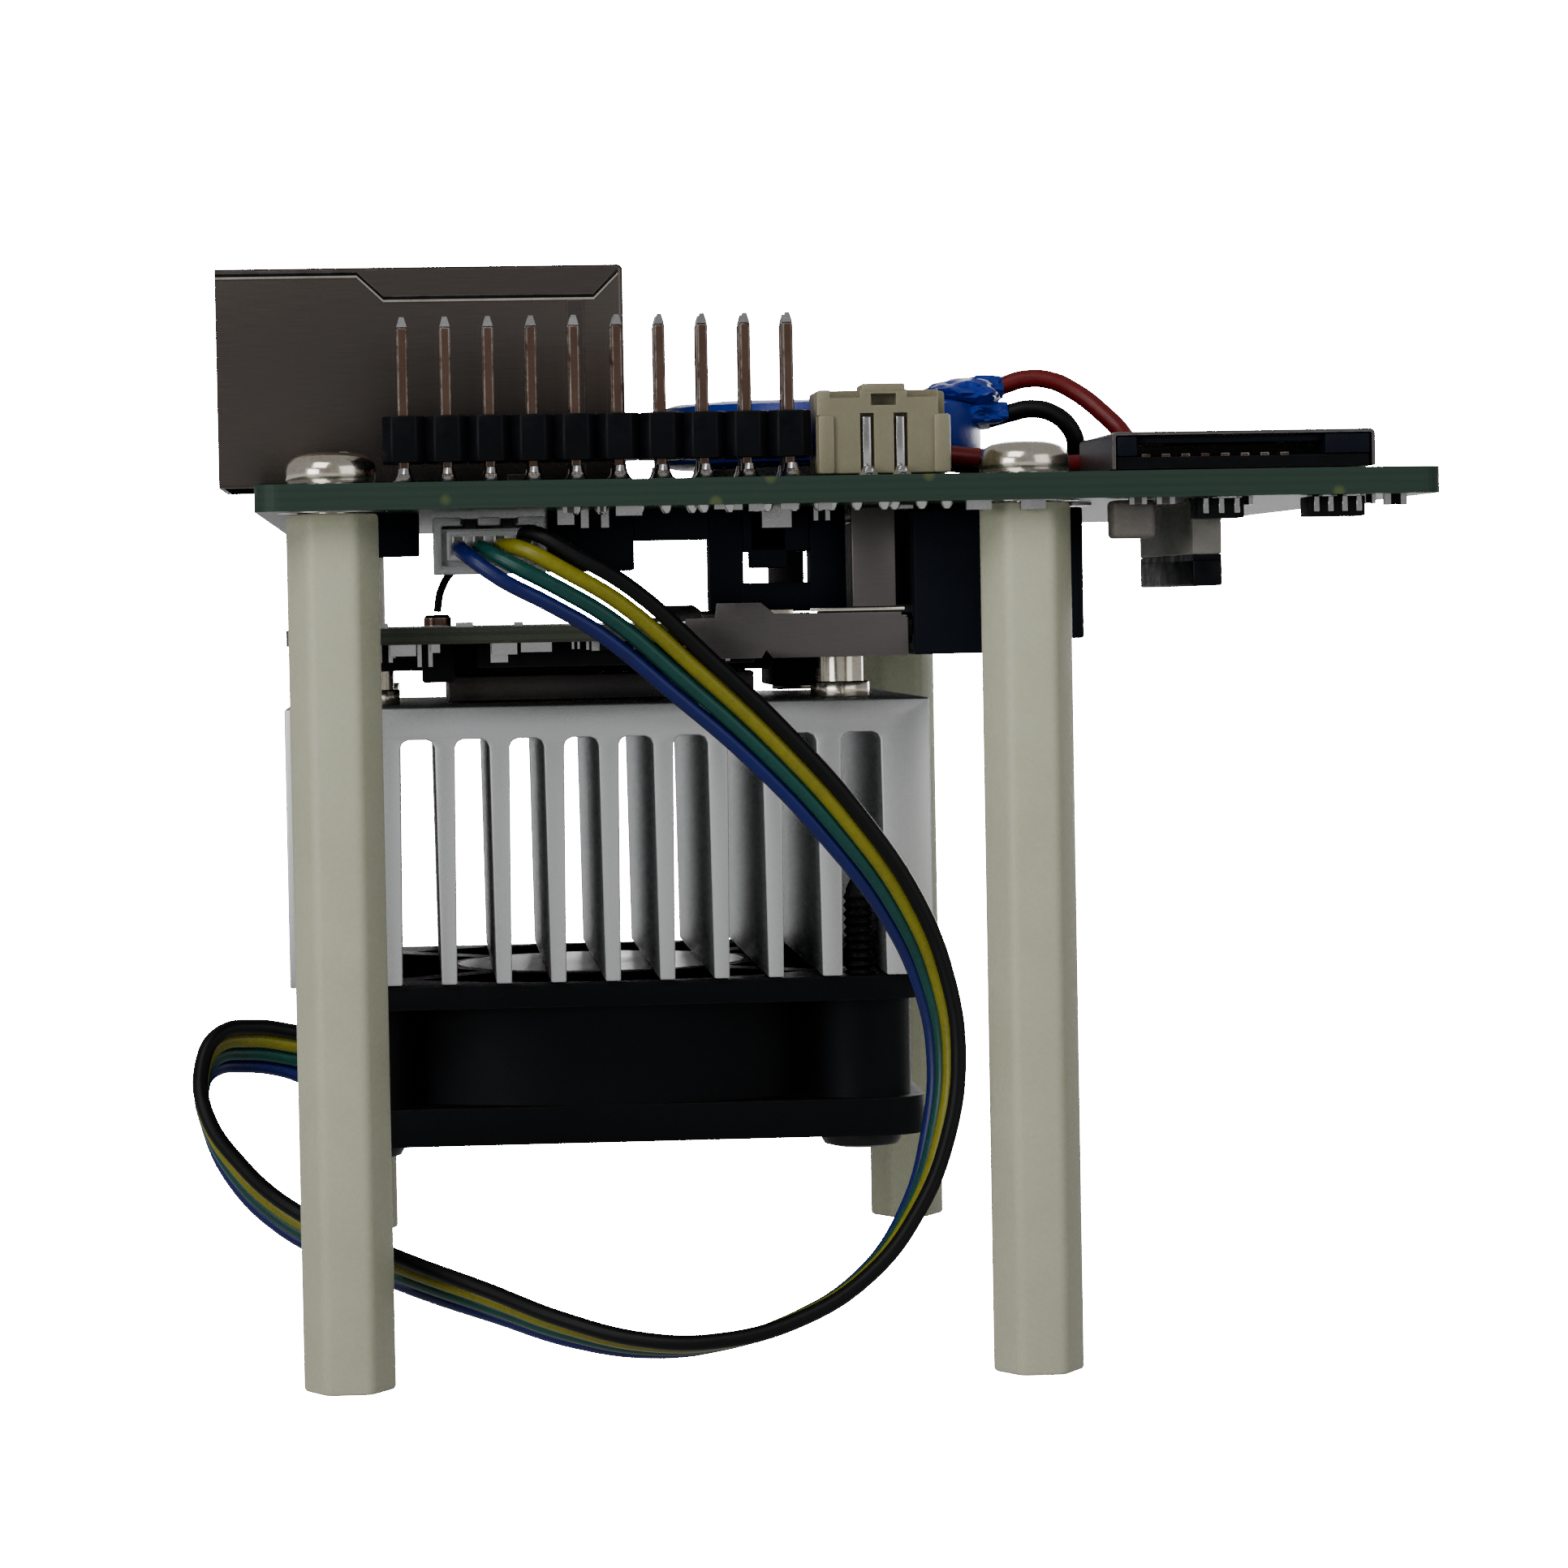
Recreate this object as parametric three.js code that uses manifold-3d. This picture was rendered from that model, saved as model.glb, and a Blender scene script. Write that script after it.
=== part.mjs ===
// A single board computer: a carrier board on four nylon legs, with a compute module, a finned heatsink
// and a fan hanging under it. Millimetres, +Z up. The pieces are placed in the board's own frame, whose
// origin is under the board's front left corner at the level of the feet, and the finished assembly is
// moved so that the origin is under the middle of the whole machine.
import * as THREE from 'three';
import { mergeVertices } from 'three/addons/utils/BufferGeometryUtils.js';
import Module from 'manifold-3d';

const wasm = await Module();
wasm.setup();

// ---------- Driving dimensions ----------

// Clearances
const SEAT = 0.1; // under a part that is soldered, glued or screwed down
const FIT = 0.3; // round a part in the pocket, slot or hole that holds it

// Carrier board
const BOARD_WIDTH = 70.6;
const BOARD_DEPTH = 90;
const BOARD_THICK = 1.6;
const BOARD_CORNER = 1.5;

// Legs and their screws
const LEG_LENGTH = 52.5;
const LEG_ACROSS = 5.75; // over the corners of the hexagon
const LEG_INSET = 4.5; // leg centre to the board's edges
const LEG_SPAN = 41.5; // left legs to right legs
const LEG_BORE_DEPTH = 9;
const LEG_SCREW_SHANK = 2.9;
const LEG_SCREW_LENGTH = 7;
const LEG_SCREW_HEAD = 5.4;
const LEG_SCREW_HEAD_HIGH = 1.9;
const DRIVE_WIDTH = 0.7;
const DRIVE_DEPTH = 0.8;

// Network jack
const JACK_LONG = 24.8;
const JACK_WIDE = 16;
const JACK_HIGH = 13.3;
const JACK_OVERHANG = 2.4; // past the board's left edge
const JACK_FRONT = 11.5; // board's front edge to the jack's side
const JACK_WALL = 0.4;
const JACK_MOUTH_WIDE = 11.8;
const JACK_MOUTH_HIGH = 8.2;
const JACK_MOUTH_DEEP = 14;
const JACK_LATCH_WIDE = 6;
const JACK_LATCH_HIGH = 1.8;

// Ports behind the jack, on the same edge
const PORT_GAP = 2.6;
const PORT_WALL = 0.35;
const SERIAL_WIDE = 13.2;
const SERIAL_HIGH = 5.9;
const SERIAL_LONG = 14;
const TONGUE_THICK = 1.9;
const VIDEO_WIDE = 15;
const VIDEO_HIGH = 5.8;
const VIDEO_LONG = 11.6;
const VIDEO_TONGUE_THICK = 1.2;
const POWER_WIDE = 9;
const POWER_HIGH = 10.8;
const POWER_LONG = 14.2;
const POWER_BORE = 6.4;
const POWER_BORE_DEEP = 11;
const POWER_PIN = 2;

// Pin header
const PIN_PITCH = 2.54;
const PIN_COLUMNS = 10;
const PIN_THICK = 0.64;
const PIN_TOP = 9.7; // above the board
const HEADER_LEFT = 7.6;
const HEADER_FRONT = 1.25;
const HEADER_HIGH = 2.75;
const HEADER_LIFT = 1.1;
const HEADER_CORNER = 0.6;
const FOOT_REACH = 2.2;
const FOOT_THICK = 0.4;

// Clock battery, its lead and its connector
const BATTERY_SOCKET_WIDE = 8;
const BATTERY_SOCKET_LONG = 5.6;
const BATTERY_SOCKET_HIGH = 5;
const BATTERY_SOCKET_GAP = 0.3; // after the header
const BATTERY_SOCKET_FRONT = 1.5;
const BATTERY_POCKET_WIDE = 6;
const BATTERY_POCKET_HIGH = 3.6;
const BATTERY_POCKET_DEEP = 4;
const BATTERY_PLUG_LONG = 5.4;
const CELL_WIDE = 20.6;
const CELL_THICK = 4;
const CELL_X = 35.1;
const CELL_Y = 22.5;
const CELL_PAD_THICK = 0.9;
const CELL_PAD_WIDE = 14;
const FLAP_LONG = 1.5;
const LOBE_LONG = 3.4;
const FLAP_WIDE = 9;
const FLAP_RISE = 1.7;
const WIRE = 1.2;

// Card slot
const CARD_WIDE = 15.8;
const CARD_LONG = 15;
const CARD_HIGH = 2.2;
const CARD_RIGHT = 4; // to the board's right edge
const CARD_FRONT = 0.5;
const CARD_WALL = 0.25;
const CARD_BASE_THICK = 0.7;

// Module socket and its latches
const SOCKET_WIDE = 10.4;
const SOCKET_HIGH = 8.8;
const SOCKET_LIFT = 0.35; // board to housing
const SOCKET_END = 1.9; // past the module at each end
const SOCKET_LEG_SHIFT = 6.4; // housing's open side to the right leg's centre
const SOCKET_STEP = 0.8;
const SOCKET_STEP_WIDE = 1.6;
const LATCH_THICK = 0.35;
const LATCH_REACH = 13.9;
const LATCH_HIGH = 2.7;
const LATCH_SIDE_GAP = 0.85;
const LATCH_HOOK_WIDE = 1.9;
const LATCH_HOOK_LAP = 0.6;
const LATCH_FLANGE = 1.1;
const LATCH_FLANGE_LONG = 8;
const BRACKET_WIDE = 2.7;
const BRACKET_FROM_SOCKET = 1;
const BRACKET_FOOT = 1.6;

// Compute module
const MODULE_WIDE = 45;
const MODULE_LONG = 69.6;
const MODULE_THICK = 1;
const MODULE_DROP = 7; // board underside to the module's upper face
const MODULE_REACH = 6.9; // into the socket
const MODULE_NOTCH = 1.8;
const MODULE_NOTCH_FROM_EDGE = 20;
const PROCESSOR = 22;
const PROCESSOR_THICK = 2;
const MEMORY_WIDE = 10;
const MEMORY_LONG = 12.4;
const MEMORY_THICK = 1;
const MEMORY_GAP = 2.4; // to the heatsink's edges
const AERIAL_SOCKET = 1.7;
const AERIAL_SOCKET_HIGH = 1.5;
const AERIAL_SOCKET_X = 10.7;
const AERIAL_SOCKET_Y = 13.2;

// Heatsink
const HEATSINK_WIDE = 40.8;
const HEATSINK_LONG = 41;
const HEATSINK_HIGH = 17.6;
const HEATSINK_BASE = 2.1;
const HEATSINK_GAP = 4; // under the module
const HEATSINK_SHIFT_X = -2.6; // from the module's middle
const HEATSINK_SHIFT_Y = -2.7;
const FIN_SLOTS = 8;
const FIN_SLOT = 2.15;
const FIN_SLOT_CORNER = 0.5;
const FIN_TAPER = 0.15; // each side of a slot, at the tips
const RIB_THICK = 1.6; // between the inner slots and the screw slots
const SPRING_SCREW_HEAD = 3.8;
const SPRING_SCREW_HEAD_HIGH = 1;
const SPRING_POST = 2;
const SPRING_SPAN_X = 30; // the module's own hole spacing
const SPRING_SPAN_Y = 34.6;

// Fan
const FAN_SIZE = 40;
const FAN_THICK = 10.2;
const FAN_CORNER = 3;
const FAN_RIM = 1.3; // between the bore and the frame's sides
const FAN_HOLE_INSET = 4;
const FAN_TOP_FLANGE = 1.5;
const FAN_LOWER_FLANGE = 2.4;
const FAN_POST = 6.6;
const FAN_WALL = 1;
const FAN_STRUTS = 4;
const FAN_STRUT_WIDE = 2;
const FAN_STRUT_THICK = 1.2;
const FAN_BEARING = 6;
const FAN_SHAFT = 2;
const FAN_AXLE_CLEARANCE = 0.08;
const FAN_HUB_WALL = 1;
const FAN_BLADES = 7;
const FAN_BLADE_CHORD = 9.5;
const FAN_BLADE_THICK = 0.9;
const FAN_BLADE_PITCH = 38; // degrees from flat
const FAN_TIP_GAP = 0.5;
const FAN_SCREW = 1.9;
const FAN_SCREW_HEAD = 5.2;
const FAN_SCREW_HEAD_HIGH = 0.9;
const FAN_SCREW_BITE = 6.3; // into the fins

// Fan connector under the board
const FAN_SOCKET_WIDE = 6.75;
const FAN_SOCKET_HIGH = 3.4;
const FAN_SOCKET_LONG = 5;
const FAN_SOCKET_LEFT = 10.5;
const FAN_SOCKET_FRONT = 6.2;
const FAN_SOCKET_LIFT = 0.4;
const FAN_SOCKET_WALL = 0.5;
const FAN_PLUG_SHOW = 0.5;
const FAN_LEAD = 3.8; // width of the four wires side by side

// Camera ribbon connector
const CAMERA_LONG = 22;
const CAMERA_WIDE = 1.8;
const CAMERA_HIGH = 5.2;
const CAMERA_LOCK_HIGH = 1.6;
const CAMERA_FROM_RIGHT = 12.6;
const CAMERA_FRONT = 5;
const CAMERA_SLOT = 0.5;
const CAMERA_TRAVEL = 1;

// Small parts under the board's front edge
const COIL_WIDE = 2.6;
const COIL_HIGH = 2.3;
const COIL_X = 52.3;
const CHIP_LONG = 3;
const CHIP_HIGH = 1.2;
const CHIP_FRONT = 0.8;
const CHIPS = [
  { name: 'driver_chip_left', fromRight: 13.3, wide: 2.8 },
  { name: 'driver_chip_right', fromRight: 6.3, wide: 3.4 },
];
const TOP_CHIPS = [
  { name: 'hub_chip', x: 56.5, y: 34, wide: 9, long: 9, high: 0.9 },
  { name: 'network_chip', x: 36.5, y: 52, wide: 7, long: 7, high: 0.9 },
  { name: 'power_chip', x: 33, y: 72, wide: 5, long: 5, high: 0.9 },
];

// ---------- Sizes that follow ----------

const BOARD_TOP = LEG_LENGTH + BOARD_THICK;
const ON_BOARD = BOARD_TOP + SEAT;
const UNDER_BOARD = LEG_LENGTH - SEAT;
const LEGS = [
  { name: 'front_left', x: LEG_INSET, y: LEG_INSET },
  { name: 'front_right', x: LEG_INSET + LEG_SPAN, y: LEG_INSET },
  { name: 'back_left', x: LEG_INSET, y: BOARD_DEPTH - LEG_INSET },
  { name: 'back_right', x: LEG_INSET + LEG_SPAN, y: BOARD_DEPTH - LEG_INSET },
];

const SOCKET_LEFT = LEG_INSET + LEG_SPAN - SOCKET_LEG_SHIFT;
const SOCKET_TOP = LEG_LENGTH - SOCKET_LIFT;
const SOCKET_BOTTOM = SOCKET_TOP - SOCKET_HIGH;
const MODULE_TOP = LEG_LENGTH - MODULE_DROP;
const MODULE_BOTTOM = MODULE_TOP - MODULE_THICK;
const MODULE_RIGHT = SOCKET_LEFT + MODULE_REACH;
const MODULE_LEFT = MODULE_RIGHT - MODULE_WIDE;
const MODULE_FRONT = (BOARD_DEPTH - MODULE_LONG) / 2;
const MODULE_BACK = MODULE_FRONT + MODULE_LONG;

const HEATSINK_X = (MODULE_LEFT + MODULE_RIGHT) / 2 + HEATSINK_SHIFT_X;
const HEATSINK_Y = BOARD_DEPTH / 2 + HEATSINK_SHIFT_Y;
const HEATSINK_TOP = MODULE_BOTTOM - HEATSINK_GAP;
const HEATSINK_BOTTOM = HEATSINK_TOP - HEATSINK_HIGH;
const FAN_TOP = HEATSINK_BOTTOM - SEAT;
const FAN_BOTTOM = FAN_TOP - FAN_THICK;
const FAN_HOLE = FAN_SIZE / 2 - FAN_HOLE_INSET;
const FAN_BORE = FAN_SIZE - 2 * FAN_RIM;
const FAN_MOTOR = FAN_SIZE * 0.525;
const SCREW_SLOT = FAN_SCREW + 2 * FIT;
const CORNERS = [
  { name: 'front_left', x: -1, y: -1 },
  { name: 'front_right', x: 1, y: -1 },
  { name: 'back_left', x: -1, y: 1 },
  { name: 'back_right', x: 1, y: 1 },
];

const HEADER_WIDE = PIN_COLUMNS * PIN_PITCH;
const BATTERY_SOCKET_LEFT = HEADER_LEFT + HEADER_WIDE + BATTERY_SOCKET_GAP;
const BATTERY_SOCKET_BACK = BATTERY_SOCKET_FRONT + BATTERY_SOCKET_LONG;
const BATTERY_SOCKET_X = BATTERY_SOCKET_LEFT + BATTERY_SOCKET_WIDE / 2;
const CELL_BOTTOM = ON_BOARD + CELL_PAD_THICK + SEAT;
const CELL_TOP = CELL_BOTTOM + CELL_THICK;
const FLAP_END = CELL_X + CELL_WIDE / 2 + FLAP_LONG;

// Free leads, in the finished part's frame. Each list is the lead's middle line.
const FAN_LEAD_ROUTE = [
  [-20.2, -39.7, 50.3], [-20, -41.6, 50.2], [-18.8, -43, 49.7], [-16, -43.4, 48.2],
  [-12.9, -43.2, 46.3], [-8.6, -42.8, 42.5], [-3.8, -42, 38], [0.5, -41.3, 33.2],
  [4, -40.7, 28.2], [5.9, -40.4, 23.7], [6.6, -40.4, 19.3], [6, -40.8, 14.5],
  [4.2, -41.6, 9.9], [1.3, -42.4, 6.3], [-3, -43, 3.8], [-7.8, -43.2, 2.6],
  [-11.8, -42.8, 2.5], [-16.4, -41.2, 3.3], [-21, -38.4, 4.7], [-26, -35.2, 6.2],
  [-29.6, -33.2, 7.6], [-33.4, -31.6, 9.4], [-36.4, -30.6, 12.2], [-38.2, -29.6, 15.4],
  [-38.5, -28.4, 18], [-37.6, -27.4, 19.4], [-35.6, -26.4, 19.6], [-33.2, -25.8, 19.2],
  [-31.2, -25.3, 18.6],
];
const RED_WIRE_ROUTE = [
  [13.1, -22.5, 60.1], [14.2, -22.5, 60.6], [15.8, -22.7, 60.5], [17.4, -23.1, 59.7],
  [18.9, -23.9, 58.4], [20.2, -25, 56.8], [20.3, -26.5, 55.6], [18.9, -27.7, 55.1],
  [16.9, -28.2, 55], [14.7, -28.7, 55], [13, -30.4, 55.1], [11, -32, 55.3],
  [8.6, -33.2, 55.5], [6.2, -33.8, 55.9], [4.4, -34.6, 56.4], [4.1, -35.8, 56.7],
];
const BLACK_WIRE_ROUTE = [
  [13.1, -24.9, 58.4], [14.2, -25.1, 58.6], [15.6, -25.4, 58.3], [16.7, -25.6, 57.3],
  [17.1, -25.2, 56.1], [16.9, -24.2, 55.3], [16.9, -22.9, 55], [16.4, -21.7, 55],
  [15.2, -21.4, 55], [14.3, -22.7, 55], [14, -24.8, 55], [13.5, -27.4, 55],
  [12.1, -29.2, 55], [10, -30.7, 55], [7.7, -32, 55.2], [5.2, -32.9, 55.6],
  [3.2, -34, 56.3], [2.3, -35.8, 56.8],
];
const AERIAL_WIRE = 0.5;
const AERIAL_WIRE_ROUTE = [
  [-23.4, -30.7, 46.5], [-23.1, -30.5, 47.9], [-22.2, -30, 49.2], [-20.6, -29, 50.1],
  [-18.4, -27.4, 50.5], [-15.8, -24.8, 50.6], [-13.8, -21, 50.5], [-12.8, -16.4, 50.4],
  [-12.6, -11.6, 50.5], [-12.6, -7, 50.9], [-12.6, -4.2, 51.7],
];

// ---------- Shapes ----------

function solid(geometry) {
  const bare = geometry.clone();
  bare.deleteAttribute('normal');
  bare.deleteAttribute('uv');
  const merged = mergeVertices(bare, 1e-4);
  const corners = merged.index.array;
  const faces = [];
  for (let i = 0; i < corners.length; i += 3) {
    const [a, b, c] = [corners[i], corners[i + 1], corners[i + 2]];
    if (a !== b && b !== c && c !== a) faces.push(a, b, c);
  }
  const vertProperties = new Float32Array(merged.attributes.position.array);
  const triVerts = new Uint32Array(faces);
  return new wasm.Manifold(new wasm.Mesh({ numProp: 3, vertProperties, triVerts }));
}

function geometryOf(body) {
  const data = body.getMesh();
  const geometry = new THREE.BufferGeometry();
  geometry.setAttribute('position', new THREE.BufferAttribute(data.vertProperties, 3));
  geometry.setIndex(new THREE.BufferAttribute(data.triVerts, 1));
  geometry.computeVertexNormals();
  return geometry;
}

function block(x0, x1, y0, y1, z0, z1) {
  const geometry = new THREE.BoxGeometry(x1 - x0, y1 - y0, z1 - z0);
  geometry.translate((x0 + x1) / 2, (y0 + y1) / 2, (z0 + z1) / 2);
  return solid(geometry);
}

// A round bar or hole along Z.
function rod(x, y, radius, z0, z1, sides = 16) {
  const geometry = new THREE.CylinderGeometry(radius, radius, z1 - z0, sides);
  geometry.rotateX(Math.PI / 2);
  geometry.translate(x, y, (z0 + z1) / 2);
  return solid(geometry);
}

// A profile of [radius, height] pairs turned about Z.
function turned(profile, x, y, sides = 16) {
  const points = profile.map(([r, z]) => new THREE.Vector2(r, z));
  const geometry = new THREE.LatheGeometry(points, sides);
  geometry.rotateX(Math.PI / 2);
  geometry.translate(x, y, 0);
  return solid(geometry);
}

function extruded(shape, depth) {
  return new THREE.ExtrudeGeometry(shape, { depth, bevelEnabled: false, curveSegments: 4 });
}

// An outline in X and Y, between two heights.
function plate(shape, z0, z1) {
  const geometry = extruded(shape, z1 - z0);
  geometry.translate(0, 0, z0);
  return solid(geometry);
}

// An outline in X and Z, between two places along Y.
function profileAlongY(shape, y0, y1) {
  const geometry = extruded(shape, y1 - y0);
  geometry.rotateX(Math.PI / 2);
  geometry.translate(0, y1, 0);
  return solid(geometry);
}

// An outline in Y and Z, between two places along X.
function profileAlongX(shape, x0, x1) {
  const geometry = extruded(shape, x1 - x0);
  const turn = new THREE.Matrix4();
  turn.makeBasis(new THREE.Vector3(0, 1, 0), new THREE.Vector3(0, 0, 1), new THREE.Vector3(1, 0, 0));
  geometry.applyMatrix4(turn);
  geometry.translate(x0, 0, 0);
  return solid(geometry);
}

function outline(points) {
  return new THREE.Shape(points.map(([u, v]) => new THREE.Vector2(u, v)));
}

function roundedRectangle(x0, x1, y0, y1, radius) {
  const shape = new THREE.Shape();
  shape.moveTo(x0 + radius, y0);
  shape.lineTo(x1 - radius, y0);
  shape.absarc(x1 - radius, y0 + radius, radius, -Math.PI / 2, 0, false);
  shape.lineTo(x1, y1 - radius);
  shape.absarc(x1 - radius, y1 - radius, radius, 0, Math.PI / 2, false);
  shape.lineTo(x0 + radius, y1);
  shape.absarc(x0 + radius, y1 - radius, radius, Math.PI / 2, Math.PI, false);
  shape.lineTo(x0, y0 + radius);
  shape.absarc(x0 + radius, y0 + radius, radius, Math.PI, 1.5 * Math.PI, false);
  return shape;
}

function joined(bodies) {
  return bodies.reduce((whole, body) => whole.add(body));
}

function cut(body, tools) {
  return tools.reduce((rest, tool) => rest.subtract(tool), body);
}

// A lead of round section along a smooth line through the points.
function lead(points, diameter, steps) {
  const line = new THREE.CatmullRomCurve3(points.map((p) => new THREE.Vector3(...p)));
  const section = new THREE.Shape();
  const sides = 8;
  for (let i = 0; i < sides; i += 1) {
    const angle = (2 * Math.PI * i) / sides;
    const [u, v] = [Math.cos(angle) * diameter / 2, Math.sin(angle) * diameter / 2];
    if (i === 0) section.moveTo(u, v);
    else section.lineTo(u, v);
  }
  return solid(new THREE.ExtrudeGeometry(section, { steps, extrudePath: line, bevelEnabled: false }));
}

// ---------- Materials ----------

function finish(color, roughness, metalness) {
  return () => new THREE.MeshStandardMaterial({ color, roughness, metalness });
}

const boardGreen = finish(0x123c2c, 0.45, 0);
const moduleGreen = finish(0x2c3a2a, 0.5, 0);
const nylon = finish(0xc9c5ae, 0.45, 0);
const nickel = finish(0xb9ad95, 0.28, 1);
const steel = finish(0x8d8782, 0.35, 1);
const aluminium = finish(0xa9abad, 0.42, 1);
const blackPlastic = finish(0x14151a, 0.5, 0);
const creamPlastic = finish(0xcbc3a0, 0.5, 0);
const whitePlastic = finish(0xd9dbd8, 0.45, 0);
const blueWrap = finish(0x1d4f9c, 0.3, 0);
const foam = finish(0xe8e6df, 0.8, 0);
const beigePlastic = finish(0x9a968a, 0.5, 0);
const chipBlack = finish(0x18191c, 0.55, 0);
const ferrite = finish(0x5b5248, 0.6, 0);
const redWire = finish(0x8e1414, 0.4, 0);
const blackWire = finish(0x101014, 0.4, 0);

// ---------- Pieces ----------

const assembly = new THREE.Group();
const leads = new THREE.Group();

function place(name, body, material, group = assembly) {
  const mesh = new THREE.Mesh(geometryOf(body), material());
  mesh.name = name;
  group.add(mesh);
}

function carrierBoard() {
  const sheet = roundedRectangle(0, BOARD_WIDTH, 0, BOARD_DEPTH, BOARD_CORNER);
  const holes = LEGS.map(({ x, y }) => {
    const radius = LEG_SCREW_SHANK / 2 + FIT;
    return rod(x, y, radius, LEG_LENGTH - 1, BOARD_TOP + 1);
  });
  return cut(plate(sheet, LEG_LENGTH, BOARD_TOP), holes);
}

function leg({ x, y }) {
  const bar = rod(0, 0, LEG_ACROSS / 2, 0, LEG_LENGTH - SEAT, 6).rotate([0, 0, 30]).translate([x, y, 0]);
  const bore = rod(x, y, LEG_SCREW_SHANK / 2 + FIT, LEG_LENGTH - LEG_BORE_DEPTH, LEG_LENGTH + 1);
  return bar.subtract(bore);
}

function legScrew({ x, y }) {
  const under = BOARD_TOP + SEAT;
  const head = LEG_SCREW_HEAD / 2;
  const tall = LEG_SCREW_HEAD_HIGH;
  const profile = [
    [0, under - LEG_SCREW_LENGTH], [LEG_SCREW_SHANK / 2, under - LEG_SCREW_LENGTH],
    [LEG_SCREW_SHANK / 2, under], [head, under], [head, under + tall * 0.55],
    [head * 0.88, under + tall * 0.85], [head * 0.6, under + tall], [0, under + tall],
  ];
  const half = DRIVE_WIDTH / 2;
  const reach = head * 0.55;
  const floor = under + tall - DRIVE_DEPTH;
  const cross = [
    block(x - reach, x + reach, y - half, y + half, floor, under + tall + 1),
    block(x - half, x + half, y - reach, y + reach, floor, under + tall + 1),
  ];
  return cut(turned(profile, x, y), cross);
}

// The network jack: a folded metal shell, open on the left, round a plastic body with the plug's cavity.
function jackShell() {
  const [x0, x1] = [-JACK_OVERHANG, JACK_LONG - JACK_OVERHANG];
  const [y0, y1] = [JACK_FRONT, JACK_FRONT + JACK_WIDE];
  const outer = block(x0, x1, y0, y1, ON_BOARD, ON_BOARD + JACK_HIGH);
  const wall = JACK_WALL;
  const inner = block(x0 - 1, x1 - wall, y0 + wall, y1 - wall, ON_BOARD - 1, ON_BOARD + JACK_HIGH - wall);
  return outer.subtract(inner);
}

function jackBody() {
  const gap = JACK_WALL + SEAT;
  const [x0, x1] = [-JACK_OVERHANG + FIT, JACK_LONG - JACK_OVERHANG - gap];
  const [y0, y1] = [JACK_FRONT + gap, JACK_FRONT + JACK_WIDE - gap];
  const top = ON_BOARD + JACK_HIGH - gap;
  const middle = JACK_FRONT + JACK_WIDE / 2;
  const mouthTop = top - 2;
  const mouthBottom = mouthTop - JACK_MOUTH_HIGH;
  const mouth = block(
    x0 - 1, x0 + JACK_MOUTH_DEEP, middle - JACK_MOUTH_WIDE / 2, middle + JACK_MOUTH_WIDE / 2,
    mouthBottom, mouthTop,
  );
  const latch = block(
    x0 - 1, x0 + JACK_MOUTH_DEEP, middle - JACK_LATCH_WIDE / 2, middle + JACK_LATCH_WIDE / 2,
    mouthBottom - JACK_LATCH_HIGH, mouthBottom + 1,
  );
  return cut(block(x0, x1, y0, y1, ON_BOARD, top), [mouth, latch]);
}

// A port's metal shell: a box with one open end, on the board's left edge.
function portShell(front, wide, long, high) {
  const outer = block(0, long, front, front + wide, ON_BOARD, ON_BOARD + high);
  const wall = PORT_WALL;
  const inner = block(
    -1, long - wall, front + wall, front + wide - wall, ON_BOARD + wall, ON_BOARD + high - wall,
  );
  return outer.subtract(inner);
}

// The plastic in a port: a back wall that carries the tongue.
function portTongue(front, wide, long, high, thick, rise) {
  const gap = PORT_WALL + FIT;
  const [y0, y1] = [front + gap, front + wide - gap];
  const back = block(long * 0.7, long - gap, y0, y1, ON_BOARD + gap, ON_BOARD + high - gap);
  const low = ON_BOARD + high * rise;
  const tongue = block(1.2, long * 0.75, y0 + 0.8, y1 - 0.8, low, low + thick);
  return back.add(tongue);
}

const VIDEO_FRONT = JACK_FRONT + JACK_WIDE + PORT_GAP;
const SERIAL_FRONT = VIDEO_FRONT + VIDEO_WIDE + PORT_GAP;
const POWER_FRONT = SERIAL_FRONT + SERIAL_WIDE + PORT_GAP;

function powerJack() {
  const middle = POWER_FRONT + POWER_WIDE / 2;
  const height = ON_BOARD + POWER_HIGH - POWER_WIDE / 2;
  const body = block(0, POWER_LONG, POWER_FRONT, POWER_FRONT + POWER_WIDE, ON_BOARD, ON_BOARD + POWER_HIGH);
  const bore = alongX(rod(0, 0, POWER_BORE / 2, -1, POWER_BORE_DEEP, 24), middle, height);
  const pin = alongX(rod(0, 0, POWER_PIN / 2, 1.5, POWER_BORE_DEEP + 1, 12), middle, height);
  return body.subtract(bore).add(pin);
}

// Lays a bar that was made along Z down along X.
function alongX(body, y, z) {
  return body.rotate([0, 90, 0]).translate([0, y, z]);
}

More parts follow.
